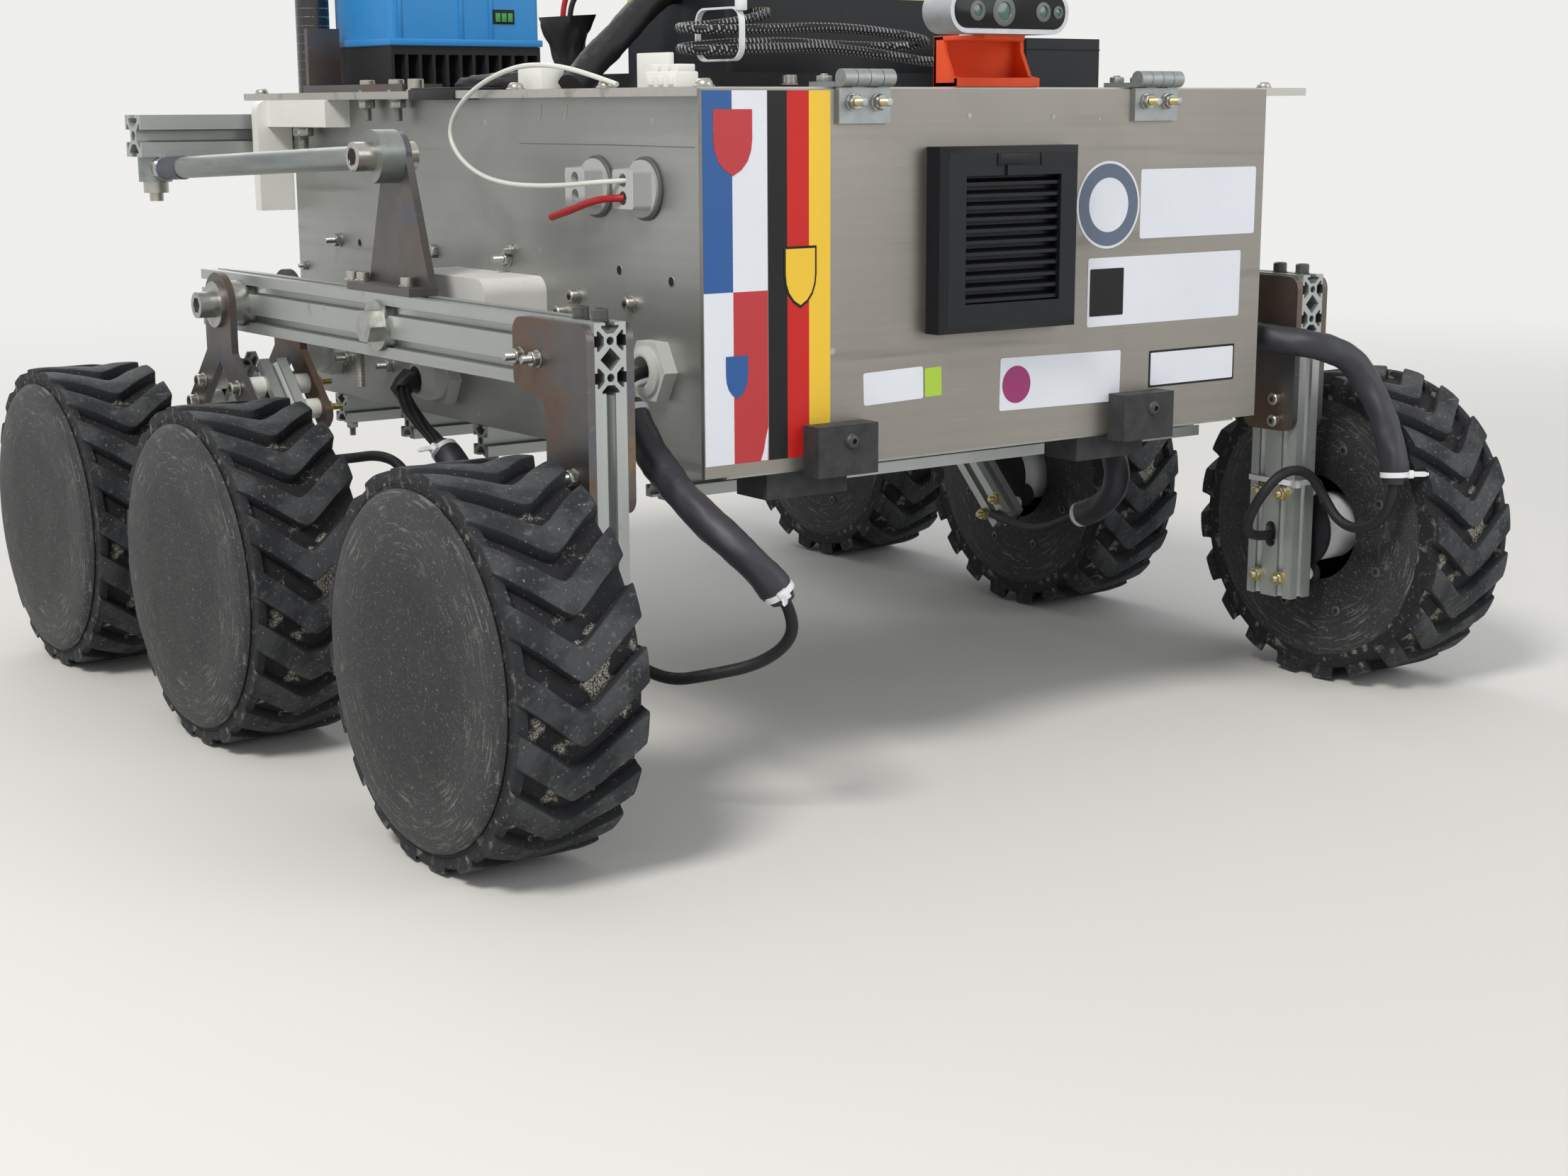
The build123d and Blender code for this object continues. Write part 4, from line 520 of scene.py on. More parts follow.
plastic("orange", "f25420", 0.42, dusty=0.12, layers="Z")
plastic("blue", "2c8ace", 0.36, dusty=0.2, grain=500)
plastic("yellow", "dade34", 0.34, dusty=0.1)
plastic("gland", "c4c6c2", 0.42, dusty=0.2)
plastic("entry", "b6b8b6", 0.42, dusty=0.2, grain=1500)
plastic("seal", "1a1a1c", 0.55, dusty=0.1)
plastic("glass", "08090c", 0.1, dusty=0)
plastic("lens_ring", "606462", 0.3, dusty=0)
plastic("iris", "28544a", 0.12, dusty=0, coat=1.0)
plastic("sleeve", "2b2c33", 0.42, dusty=0.07, grain=300)
plastic("rod_sleeve", "424854", 0.4, dusty=0.05)
plastic("cable", "222224", 0.46, dusty=0.12, grain=700)
plastic("tie", "e2e4e6", 0.3, dusty=0)
plastic("white_cable", "dadcd4", 0.38, dusty=0.1)
plastic("red_wire", "a41e22", 0.34, dusty=0)
plastic("terminal", "469654", 0.4, dusty=0.1)
for name, colour in (
        ("vinyl_blue", "185496"), ("vinyl_white", "e2e5ec"), ("vinyl_red", "ba2c32"), ("vinyl_deep_red", "c8221e"),
        ("vinyl_black", "121215"), ("vinyl_gold", "f0c42e"), ("vinyl_green", "acce38"), ("vinyl_plum", "962868"),
        ("vinyl_slate", "5c687c"), ("mark_pale", "bab8b2"), ("mark_dark", "686763")):
    vinyl(name, colour)

# each material's nodes of the CAD; tyres, wheels and cables follow from their names
WORN_BY = {
    "profile_x": "base_rails differential_bar", "profile_y": "rocker_beams", "profile_z": "front_legs bogie_legs",
    "steel": "gussets bogie_plates link_brackets mast_bracket", "stainless": "link_bolts",
    "zinc": "rocker_pivots bogie_pivots differential_pivot", "galvanised": "link_rods", "entry": "cable_entries",
    "gland": "glands", "black_metal": "control_base heatsink motor_plates",
    "black_smooth": "control_box front_box battery_pack", "yellow": "control_lid", "blue": "converter",
    "deck": "deck_plate", "panel": "floor_plate rear_panel side_panel_r side_panel_l", "door": "door_panel",
    "black": "door_blocks door_catches", "grille": "filter_grille", "hinge": "hinge_deck_leaves hinge_door_leaves",
    "mast": "mast_tube", "motor": "motors", "white": "nylon_spacers rear_bracket", "housing": "pivot_housings",
    "orange": "camera_bracket", "shell": "depth_camera",
}
worn = {node: mat for mat, nodes in WORN_BY.items() for node in nodes.split()}
for name, obj in frame["nodes"].items():
    usual = {"tyre": "rubber", "wheel": "disc"}.get(name.split("_")[0], "cable")
    mat = MATS[worn.get(name, usual)]
    if obj.material_slots:
        for place in obj.material_slots:
            place.material = mat
    else:
        obj.data.materials.append(mat)


# ---------------------------------------------------------------- shapes
def turned(axis, up=UP):
    """Rotation whose z goes along axis and whose y is as near to up as it can be."""
    z = Vector(axis).normalized()
    ways = (Vector(way).cross(z) for way in (up, (0, 1, 0)))
    x = next((way for way in ways if way.length >= 1e-4), Vector((1, 0, 0))).normalized()
    return Matrix((x, z.cross(x), z)).transposed().to_4x4()


def stand(at, axis, up=UP):
    """Places a shape on a point, with its z along axis."""
    return Matrix.Translation(Vector(at)) @ turned(axis, up)


def circle(radius, sides, z=0.0):
    return [(radius * cos(2 * pi * k / sides), radius * sin(2 * pi * k / sides), z) for k in range(sides)]


def join_rings(part, rings, around=True, top=True):
    """Joins rings of as many points with quads, closes the ends and returns the last ring."""
    rings = [[part.verts.new(point) for point in ring] for ring in rings]
    for low, high in zip(rings, rings[1:]):
        for k in range(0 if around else 1, len(low)):
            part.faces.new((low[k - 1], low[k], high[k], high[k - 1]))
    part.faces.new(rings[0][::-1])
    if top:
        part.faces.new(rings[-1])
    return rings[-1]


def add(name, data):
    """A new object in the scene."""
    obj = bpy.data.objects.new(name, data)
    bpy.context.scene.collection.objects.link(obj)
    return obj


class Shape:
    """Collects solids, written in millimetres, into one mesh of one material."""

    def __init__(self):
        self.bm = bmesh.new()

    def take(self, part, matrix=Matrix()):
        bmesh.ops.recalc_face_normals(part, faces=part.faces)
        part.transform(matrix)
        mesh = bpy.data.meshes.new("part")
        part.to_mesh(mesh)
        part.free()
        self.bm.from_mesh(mesh)
        bpy.data.meshes.remove(mesh)
        return self

    def skin(self, rings, matrix=Matrix(), around=True):
        part = bmesh.new()
        join_rings(part, rings, around)
        return self.take(part, matrix)

    def lathe(self, profile, at, axis, sides=32, closed=False):
        """Turns (radius, height) points round an axis. A radius of 0 closes an end."""
        part = bmesh.new()
        rings = [[part.verts.new(point) for point in circle(radius, sides if radius else 1, height)]
                 for radius, height in profile]
        for low, high in zip(rings, rings[1:] + rings[:closed]):
            for k in range(sides):
                n = (k + 1) % sides
                corners = (low[k % len(low)], low[n % len(low)], high[n % len(high)], high[k % len(high)])
                part.faces.new(list(dict.fromkeys(corners)))
        return self.take(part, stand(at, axis))

    def hexagon(self, flats, height, at, axis, up=UP):
        """A hexagon with chamfered corners on both ends, standing on at."""
        far, near, cut = flats / sqrt(3), flats * 0.48, flats * 0.06
        rings = []
        for radius, z in ((near, 0), (far, cut), (far, height - cut), (near, height)):
            ring = []
            for k in range(24):
                angle = 2 * pi * k / 24
                reach = min(radius, (flats / 2) / cos((angle + pi / 6) % (pi / 3) - pi / 6))
                ring.append((reach * cos(angle), reach * sin(angle), z))
            rings.append(ring)
        return self.skin(rings, stand(at, axis, up))

    def thread(self, radius, length, at, axis, pitch=0.9):
        turns = max(2, int(length / pitch))
        profile = [(0, 0)]
        for k in range(turns):
            profile += [(radius * 0.86, k * pitch), (radius, (k + 0.5) * pitch)]
        profile += [(radius * 0.86, turns * pitch), (0, turns * pitch + 0.2)]
        return self.lathe(profile, at, axis, 14)

    def washer(self, radius, thick, at, axis, sides=32):
        return self.lathe([(0, 0), (radius - 0.2, 0), (radius, 0.2), (radius, thick - 0.2),
                           (radius - 0.3, thick), (0, thick)], at, axis, sides)

    def cap_screw(self, radius, height, at, axis, socket=4):
        """Socket cap head standing on at, with a hexagon socket in its top."""
        part = bmesh.new()
        outline = ((radius * 0.94, 0), (radius, radius * 0.06), (radius, height - radius * 0.16),
                   (radius * 0.84, height))
        rim = join_rings(part, [circle(r, 24, z) for r, z in outline], top=False)
        mouth, end = ([part.verts.new(point) for point in circle(socket / sqrt(3), 6, z)]
                      for z in (height, height * 0.45))
        for k in range(6):
            n = (k + 1) % 6
            part.faces.new([mouth[k]] + [rim[(4 * k + j) % 24] for j in range(5)] + [mouth[n]])
            part.faces.new((mouth[k], mouth[n], end[n], end[k]))
        part.faces.new(end)
        return self.take(part, stand(at, axis))

    def button_screw(self, radius, height, at, axis, socket=3):
        return self.lathe([(0, 0), (radius, 0), (radius, height * 0.15), (radius * 0.93, height * 0.5),
                           (radius * 0.75, height * 0.85), (radius * 0.55, height), (socket * 0.56, height),
                           (socket * 0.54, height * 0.35), (0, height * 0.3)], at, axis, 24)

    def bolt(self, washer, thick, radius, height, at, axis, socket=4, button=False):
        """A screw's head on its washer."""
        self.washer(washer, thick, at, axis)
        at = Vector(at) + Vector(axis) * (thick - 0.1)
        return (self.button_screw if button else self.cap_screw)(radius, height, at, axis, socket)

    def cuboid(self, size, bevel, matrix):
        part = bmesh.new()
        bmesh.ops.create_cube(part, size=1)
        part.transform(Matrix.Diagonal((*size, 1)))
        bmesh.ops.bevel(part, geom=part.edges[:], offset=min(bevel, min(size) * 0.45), segments=2,
                        affect="EDGES", profile=0.5)
        return self.take(part, matrix)

    def block(self, low, high, bevel):
        """A box from its low to its high corner, with softened edges."""
        low, high = Vector(low), Vector(high)
        return self.cuboid(high - low, bevel, Matrix.Translation((low + high) / 2))

    def plate(self, outline, thick, origin, axis, up=UP, bevel=0.0):
        """A flat plate from its outline in its own x and y, thick along axis from origin."""
        part = bmesh.new()
        join_rings(part, [[(x, y, z) for x, y in outline] for z in (0, thick)])
        bmesh.ops.recalc_face_normals(part, faces=part.faces)
        if bevel:
            rim = [e for e in part.edges if abs(e.verts[0].co.z - e.verts[1].co.z) < 1e-6]
            bmesh.ops.bevel(part, geom=rim, offset=bevel, segments=2, affect="EDGES", profile=0.5)
        return self.take(part, stand(origin, axis, up))

    def piece(self, name, mat, slot=None, smooth=38, body="chassis", at=(0, 0, 0), replaces=()):
        """Turns what was collected into a scene object in metres that rides on a body."""
        self.bm.transform(Matrix.Scale(MM, 4))
        mesh = bpy.data.meshes.new(name)
        self.bm.to_mesh(mesh)
        self.bm.free()
        obj = add(name, mesh)
        obj.location = Vector(at) * MM
        mesh.materials.append(MATS[mat])
        if smooth:
            mesh.shade_smooth()
            mesh.set_sharp_from_angle(angle=radians(smooth))
        bpy.context.view_layer.update()
        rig.ride(obj, body)
        if slot:
            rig.slot(obj, slot)
        if replaces:
            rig.replaces(obj, *replaces)
        return obj


def rounded(width, height, radius, steps=6, centre=(0, 0)):
    """Outline of a rectangle with round corners."""
    points = []
    for cx, cy, start in ((1, 1, 0), (-1, 1, 90), (-1, -1, 180), (1, -1, 270)):
        for k in range(steps + 1):
            a = radians(start + 90 * k / steps)
            points.append((centre[0] + cx * (width / 2 - radius) + radius * cos(a),
                           centre[1] + cy * (height / 2 - radius) + radius * sin(a)))
    return points


def blocks(name, mat, slot, *boxes, smooth=38):
    """A piece of the chassis made of boxes: low corner, high corner and bevel."""
    shape = Shape()
    for low, high, bevel in boxes:
        shape.block(low, high, bevel)
    return shape.piece(name, mat, slot, smooth)


# ---------------------------------------------------------------- tyres and wheels
LUGS, LUG_ROWS = 20, 32
LUG_ROOT, LUG_DEPTH, LUG_TOP = 101.3, 8.6, 109.92
LUG_POINT = 0.13     # how soft the V's point is
# a lug's section: offset along the tread and radius
LUG_SECTION = ((-10.4, 101.3), (-9.7, 103.2), (-9.2, 108.6), (-8.7, 109.4), (-7.6, 109.75), (-3, 109.9), (3, 109.9),
               (7.4, 109.75), (8.5, 109.4), (9.0, 108.6), (9.8, 103.2), (10.6, 101.3))


def tyre_shape(seed, side):
    """Twenty V-shaped lugs with a rounded point on a thin carcass, about the origin."""
    half, soft = TYRE_HALF, LUG_POINT
    shape = Shape()
    shape.lathe([(92.1, -half), (100.4, -half), (101.4, -half + 0.8), (101.8, -half + 2.2), (101.9, 0),
                 (101.8, half - 2.2), (101.4, half - 0.8), (100.4, half), (92.1, half)],
                (0, 0, 0), (1, 0, 0), 160, closed=True)
    shoulder_ring = ((101.0, 0.02), (105.4, 0.02), (106.6, 1.0), (107.2, 3.4), (106.4, 6.2), (101.0, 8.4))
    shape.lathe([(radius, side * (half - inward)) for radius, inward in shoulder_ring],
                (0, 0, 0), (1, 0, 0), 160, closed=True)
    for lug in range(LUGS):
        grid = []
        for row in range(LUG_ROWS + 1):
            u = 2 * row / LUG_ROWS - 1
            x = half * u
            lead = (sqrt(u * u + soft * soft) - soft) / (sqrt(1 + soft * soft) - soft)
            shoulder = 0.5 * max(0.0, abs(u) - 0.88) / 0.12
            middle = 13.8 - 27.0 * lead - 1.2 * sin(pi * abs(u))
            line = []
            for offset, radius in LUG_SECTION:
                wear = 0.28 * noise.noise(Vector((x * 0.11 + seed * 7, offset * 0.2, lug * 3.1)))
                deep = (radius - LUG_ROOT) / LUG_DEPTH
                r = min(LUG_TOP, radius - shoulder * deep + wear * deep * (1 if radius > 108 else 0.4) - 0.12)
                turn = radians(lug * 360 / LUGS) + (middle + offset * (1 + 0.05 * wear)) / 104.0
                line.append((x, r * cos(turn), r * sin(turn)))
            grid.append(line)
        shape.skin(grid, around=False)
    return shape


# a wheel's dome, barrel, inner plate and hub boss: radius and place along the axle
WHEEL = ((0, 45.5), (30, 45.5), (60, 45.35), (80, 45.0), (89, 44.4), (93.5, 43.6), (96.4, 42.3), (98.0, 40.6),
         (98.5, 39.6), (98.2, 38.9), (97.4, 38.55), (92, 38.5), (92, -38.3), (91.6, -38.5), (37.8, -38.5),
         (37.5, -38.2), (37.5, -35.5), (88, -35.5), (88, 38.4), (12, 38.4), (12, -7.5), (4.05, -7.5),
         (4.05, 32.4), (0, 32.4))
for place, axle_y in PLACES:
    for letter, side in SIDES:
        body, at = f"{place}_wheel_{letter}", (side * TYRE_MID, axle_y, AXLE_Z)
        tyre_shape(len(place) + side, side).piece(
            f"tread_{place}_{letter}", "rubber", "tyre_rubber", 32, body, at, [f"tyre_{place}_{letter}"])
        Shape().lathe(WHEEL, (0, 0, 0), (side, 0, 0), 144).piece(
            f"disc_{place}_{letter}", "disc", "wheel_plastic", 30, body, at, [f"wheel_{place}_{letter}"])
        screws = Shape()
        for k in range(8):
            a = radians(22.5 + 45 * k)
            screws.lathe([(0, 0), (3.6, 0), (3.6, 0.5), (3.0, 0.9), (1.6, 0.9), (1.5, 0.2), (0, 0.2)],
                         (-side * 38.4, 62 * cos(a), 62 * sin(a)), (-side, 0, 0), 18)
        screws.piece(f"disc_screws_{place}_{letter}", "burnished", "black_plastic", body=body, at=at)


# ---------------------------------------------------------------- cables
def cord_line(name, points, radius, mat):
    """A smooth cord through a route's points in millimetres, as a curve in metres."""
    data = bpy.data.curves.new(name, "CURVE")
    data.dimensions = "3D"
    spline = data.splines.new("NURBS")
    spline.points.add(len(points) - 1)
    for place, point in zip(spline.points, points):
        place.co = (*(c * MM for c in point), 1.0)
    spline.order_u = 3
    spline.use_endpoint_u = True
    spline.resolution_u = data.resolution_u = 10
    obj = add(name, data)
    bpy.context.view_layer.update()
    bare = bpy.data.meshes.new_from_object(obj)
    path = [v.co / MM for v in bare.vertices]
    bpy.data.meshes.remove(bare)
    data.bevel_depth = radius * MM
    data.bevel_resolution = 3
    data.use_fill_caps = True
    data.materials.append(MATS[mat])
    return obj, path, spline.calc_length()


def lay_cord(name, points, radius, mat, slot=None, replaces=None):
    obj, path, length = cord_line(name, points, radius, mat)
    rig.ride(obj, "chassis")
    if slot:
        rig.slot(obj, slot)
        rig.replaces(obj, replaces)
    return obj, path, {"exit": [c * MM for c in points[0]], "length": length, "diameter": round(2 * radius * MM, 4)}


def nearest(path, point):
    return min(range(len(path)), key=lambda k: (path[k] - Vector(point)).length)


def resampled(path, spacing):
    """Points along a line read from a cord, evenly apart."""
    out, spare = [path[0]], 0.0
    for a, b in zip(path, path[1:]):
        run = (b - a).length
        at = spacing - spare
        while at <= run:
            out.append(a.lerp(b, at / run))
            at += spacing
        spare = (spare + run) % spacing
    return out


def frames(path):
    """Each place on a path: its share of the length, its point and two untwisted ways across."""
    side = None
    for k, here in enumerate(path):
        ahead = (path[min(k + 1, len(path) - 1)] - path[max(k - 1, 0)]).normalized()
        if side is None:
            side = ahead.orthogonal().normalized()
        side = (side - ahead * side.dot(ahead)).normalized()
        yield k / (len(path) - 1), here, side, ahead.cross(side)


def sweep(shape, path, radius_at, sides=20):
    """A tube that follows a line, its radius given by the place along it and around it."""
    rings = []
    for t, here, side, other in frames(path):
        ring = []
        for j in range(sides):
            a = 2 * pi * j / sides
            r = radius_at(t, a)
            ring.append(here + side * (r * cos(a)) + other * (r * sin(a)))
        rings.append(ring)
    return shape.skin(rings)


def strands(shape, path, ring, radius, count, turns):
    """Thin wires laid round a line, which they follow with a slight twist."""
    lines = [[] for _ in range(count)]
    for t, here, side, other in frames(path):
        for j, line in enumerate(lines):
            a = 2 * pi * (j / count + turns * t)
            line.append(here + side * (ring * cos(a)) + other * (ring * sin(a)))
    for line in lines:
        sweep(shape, line, lambda t, angle: radius, 10)
    return shape


def folds(spread, t, shift=(0, 0, 0)):
    """A fold pattern for sweep's radius: noise on a cylinder of radius spread."""
    return lambda angle: noise.noise(Vector((cos(angle) * spread, sin(angle) * spread, t)) + Vector(shift))


def tie(shape, at, along, radius, head):
    """A cable tie: ribbed band, lock head and a tail that curls away."""
    along, head, tail = Vector(along).normalized(), Vector(head), 12.0
    shape.lathe([(radius, -1.8), (radius + 1.1, -1.8), (radius + 1.1, 1.8), (radius, 1.8)], at, along, 40,
                closed=True)
    out = (head - along * head.dot(along)).normalized()
    shape.cuboid((6.2, 5.4, 4.6), 0.7, stand(at + out * (radius + 2.3), out, along))
    rows = []
    for t in (k / 12 for k in range(13)):
        lean, lift, half = 0.35 * tail * t * t, 2 + tail * t, 1.7 if t < 0.85 else 1.0
        rows.append([(lean + x, y, lift) for x, y in ((-0.55, -half), (-0.55, half), (0.55, half), (0.55, -half))])
    shape.skin(rows, stand(at + out * radius, out, along))


def flap_of_tape(shape, at, side):
    """A loose end of tape that hangs behind a gland's mouth, bent along its length."""
    outline = ((19, 31, 232), (21, 40, 225), (23, 48, 217), (24, 39, 210), (26, 37, 201))     # two ends in y, and z
    rows = []
    for place, (near, far, z) in enumerate(outline):
        x = side * (at + 2.5 * sin(0.9 * place))
        rows.append([(x + 0.25 * lift, y, z) for y, lift in ((near, -1), (far, -1), (far, 1), (near, 1))])
    shape.skin(rows)


def strap(shape, outer, inner, at, axis, up, width=3.6):
    """A flat band between two outlines of as many points."""
    part = bmesh.new()
    loops = [[part.verts.new((x, y, z)) for x, y in line]
             for z in (-width / 2, width / 2) for line in (outer, inner)]
    for a, b in ((0, 2), (3, 1), (1, 0), (2, 3)):
        for k in range(len(outer)):
            part.faces.new((loops[a][k - 1], loops[a][k], loops[b][k], loops[b][k - 1]))
    return shape.take(part, stand(at, axis, up))


def taped_radius(t, angle):
    return 7.4 - 2.0 * t + 1.2 * folds(1.6, t * 5 + 2)(angle)


def sleeve_radius(seed):
    def radius_at(t, angle):
        fold, crease = folds(1.3, t * 9 + seed * 5)(angle), folds(2.6, t * 26 + seed, (9, 0, 0))(angle)
        pinch = 1.0 - 0.28 * max(0.0, 1 - t / 0.05) - 0.28 * max(0.0, 1 - (1 - t) / 0.05)
        return min(10.5, (9.4 + 1.1 * fold + 0.6 * crease) * pinch)
    return radius_at


# name, side, route (outwards from the panel, y, z), the sleeve's first and last point, ways the ties' heads face
MOTOR_CABLES = (
    ("front_r", -1, (
        (6, -246.5, 254), (26, -250, 253), (33, -265, 240), (31, -277, 219), (33, -299, 204), (35, -329, 190),
        (30, -357, 174), (17, -374, 156), (4, -379, 138), (-3, -375, 117), (7, -357, 100), (29, -337, 93),
        (41, -315, 87), (54, -294, 96), (70, -294, 112)), (2, 8), ((-1, -0.2, 0.2), (-0.6, -1, 0.3))),
    ("front_l", 1, (
        (6, -246.5, 254), (26, -251, 254), (38, -268, 253), (39, -302, 250), (53, -331, 247), (77, -343, 240),
        (90, -351, 222), (92, -364, 200), (92, -375, 177), (91, -379, 153), (90, -374, 131), (87, -357, 119),
        (84, -338, 122), (82, -325, 140), (68, -323, 158), (46, -320, 160), (32, -313, 143), (32, -301, 122),
        (46, -293.2, 109), (70, -293.2, 109)), (2, 9), ((0, -1, 0.4), (-1, -0.6, 0))),
    ("middle_r", -1, (
        (19, 15.5, 226), (38, 11, 224), (42, -5, 213), (40, -22, 200), (37, -42, 189), (35, -62, 175),
        (34, -74, 153), (34, -71, 128), (36, -53, 111), (38, -29, 112), (40, -15, 131), (42, -12, 155),
        (45, 3, 173), (49, 27, 176), (55, 53, 171), (61, 78, 167)), (4, 11), ((-1, 0, 0.5), (-1, -0.4, 0))),
    ("middle_l", 1, (
        (19, 15.5, 226), (38, 11, 224), (43, -5, 214), (42, -30, 203), (42, -70, 193), (42, -120, 180),
        (40, -157, 163), (38, -171, 136), (38, -156, 113), (39, -125, 102), (44, -88, 86), (51, -52, 80),
        (61.4, -4, 84)), (4, 9), ((-1, -0.3, 0.4), (-1, -0.3, 0.6))),
)
for index, (name, side, route, cover, heads) in enumerate(MOTOR_CABLES):
    points = [(side * (PANEL_X + out), y, z) for out, y, z in route]
    cord, path, facts = lay_cord(f"motor_cable_{name}", points, 3.5, "cable", "cable_black", f"cable_{name}")
    first, last = (nearest(path, points[k]) for k in cover)
    run = resampled(path[first:last + 1], 3.0)
    sleeve = sweep(Shape(), run, sleeve_radius(index), 24)
    on_cable = [sleeve.piece(f"cable_sleeve_{name}", "sleeve", "cable_black", 60)]
    ties = Shape()
    for place, head in ((2, heads[0]), (len(run) - 3, heads[1])):
        tie(ties, run[place], run[place + 1] - run[place - 1], 8.3, (side * -head[0], head[1], head[2]))
    on_cable.append(ties.piece(f"cable_ties_{name}", "tie", "white_plastic"))
    if name.startswith("middle"):
        fine = resampled(path[:first + 1], 2.0)
        taped = sweep(Shape(), fine[:13], taped_radius, 22)
        flap_of_tape(taped, 231.0, side)
        on_cable.append(taped.piece(f"cable_tape_{name}", "tape", "cable_black", 50))
        wires = strands(Shape(), fine[11:] + run[:4], 3.3, 1.45, 6, 0.35)
        on_cable.append(wires.piece(f"cable_wires_{name}", "cable", "cable_black", 60))
    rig.cord(cord, **facts, far_end="object", stiffness="limp", lay="hanging", with_pieces=on_cable)

signal = [(-PANEL_X - out, y, z) for out, y, z in (
    (13, -235.5, 363), (22, -230, 362.5), (25.5, -216, 361.5), (25, -190, 359.5), (25, -150, 358),
    (25, -115, 358.5), (25, -82, 363), (25, -55, 374), (25, -43, 389), (24, -55, 405), (23, -83, 419),
    (21, -125, 429), (18, -163, 429), (14, -194, 424), (10, -222, 417))]
cord, _, facts = lay_cord("signal_cable", signal, 1.5, "white_cable", "cable_white", "cable_white")
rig.cord(cord, **facts, far_end="object", stiffness="medium", lay="loose")

bundle = [(x, y, DECK_Z + lift) for x, y, lift in (
    (-80, -168.3, 47), (-82, -190, 47), (-105, -205, 42), (-135, -207, 37), (-168, -205, 35), (-168, -239, 33),
    (-125, -241, 34), (-80, -239, 36), (-35, -240, 34), (8, -239, 28), (8, -205, 26), (-35, -203, 26),
    (-80, -205, 28), (-125, -203, 27), (-168, -205, 23), (-168, -239, 21), (-125, -241, 23), (-80, -239, 24),
    (-35, -241, 20), (0, -240, 16), (30, -238, 16), (32, -268, 20), (18, -292, 34), (6, -308, 40),
    (4, -328.7, 41))]
cord, _, facts = lay_cord("camera_cable", bundle, 2.9, "braid", "cable_black", "cable_bundle")
band = strap(Shape(), rounded(47, 31, 9), rounded(44.6, 28.6, 8), (-144, -222, 446), (1, 0, 0), UP)
band.block((-147, -246.5, 459), (-141, -241.5, 465.5), 0.8)
band.block((-145.7, -244.6, 464.5), (-142.3, -243.4, 474), 0.4)
band = band.piece("bundle_tie", "tie", "white_plastic")
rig.cord(cord, **facts, far_end="object", stiffness="limp", lay="coiled", with_pieces=[band])

supply = [(-221, -235.5, 353), (-228, -229, 353), (-229.5, -212, 350.5), (-229.5, -190, 345), (-228, -165, 340)]
cord, _, facts = lay_cord("red_lead", supply, 2.2, "red_wire")
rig.cord(cord, **facts, far_end="bare", stiffness="medium", lay="loose")

# ---------------------------------------------------------------- stickers on the door
STICKER = 0.3
STRIPE_LOW, STRIPE_MIDDLE, STRIPE_TOP = 207, 303.3, 413


def sticker(name, mat, *outlines, lift=0.0):
    """Flat vinyl shapes on the door, from outlines in world x and z."""
    shape = Shape()
    for outline in outlines:
        shape.plate(outline, STICKER, (0, DOOR_Y + 0.05 - lift, 0), AHEAD)
    shape.piece(name, mat, smooth=0, body="front_door")


def box(left, right, bottom, top):
    return [(left, bottom), (right, bottom), (right, top), (left, top)]


def ring(centre, radius, steps=48):
    return [(centre[0] + x, centre[1] + y) for x, y, _ in circle(radius, steps)]


def shield(centre, width, height):
    """A heater shield: straight top, sides that curve down to a point."""
    half = ((0, -0.5), (0.22, -0.41), (0.38, -0.28), (0.47, -0.12), (0.5, 0.05), (0.5, 0.5))
    points = [(-x, y) for x, y in half[::-1]] + list(half[1:])
    return [(centre[0] + x * width, centre[1] + y * height) for x, y in points]


def label(left, right, bottom, top, lean=0.0, corner=1.5):
    middle, a = ((left + right) / 2, (bottom + top) / 2), radians(lean)
    return [(middle[0] + x * cos(a) - y * sin(a), middle[1] + x * sin(a) + y * cos(a))
            for x, y in rounded(right - left, top - bottom, corner, 3)]


sticker("stripe_blue", "vinyl_blue", box(-222.5, -202.9, STRIPE_MIDDLE, STRIPE_TOP))
sticker("stripe_white", "vinyl_white", box(-202.9, -179.3, STRIPE_MIDDLE, STRIPE_TOP),
        box(-222.5, -202.9, STRIPE_LOW, STRIPE_MIDDLE))
sticker("stripe_red", "vinyl_red", box(-202.9, -179.3, STRIPE_LOW, STRIPE_MIDDLE))
for name, left, right in (("black", -178.6, -165.6), ("deep_red", -165.6, -150.3), ("gold", -150.3, -135.2)):
    sticker(f"stripe_{name}", f"vinyl_{name}", box(left, right, STRIPE_LOW, STRIPE_TOP))
sticker("stripe_peel", "vinyl_white",
        [(-184.6, 207.3), (-180.0, 207.2), (-179.4, 226), (-181.2, 219.5), (-182.6, 212.5)], lift=0.2)
for name, mat, middle, width, height, lift in (
        ("red", "red", (-202.4, 384.9), 26, 36, 0.2), ("rim", "black", (-156.6, 309.6), 23, 35, 0.2),
        ("gold", "gold", (-156.6, 309.8), 20.4, 31.8, 0.4), ("blue", "blue", (-200.8, 255.8), 15, 24, 0.2)):
    sticker(f"shield_{name}", f"vinyl_{mat}", shield(middle, width, height), lift=lift)
for name, mat, radius, lift in (("rim", "white", 27, 0), ("ring", "slate", 25.4, 0.15), ("disc", "white", 16.8, 0.3)):
    sticker(f"badge_{name}", f"vinyl_{mat}", ring((82.9, 343.4), radius), lift=lift)
sticker("labels_white", "vinyl_white", label(110.9, 215.6, 321.5, 364.7), label(66.8, 203.8, 268, 310.8),
        label(-110.6, -65.7, 233.2, 252.3, 1.5), label(-4.8, 96.7, 220.4, 252.7, -0.8))
sticker("label_square", "vinyl_black", label(68.6, 97.6, 274.5, 304.0, 0, 0.8), lift=0.15)
sticker("label_disc", "vinyl_plum", ring((8.6, 236.6), 11.5, 40), lift=0.15)
sticker("label_edge", "vinyl_black", label(122.4, 201.1, 226, 249.7, 0, 1.0))
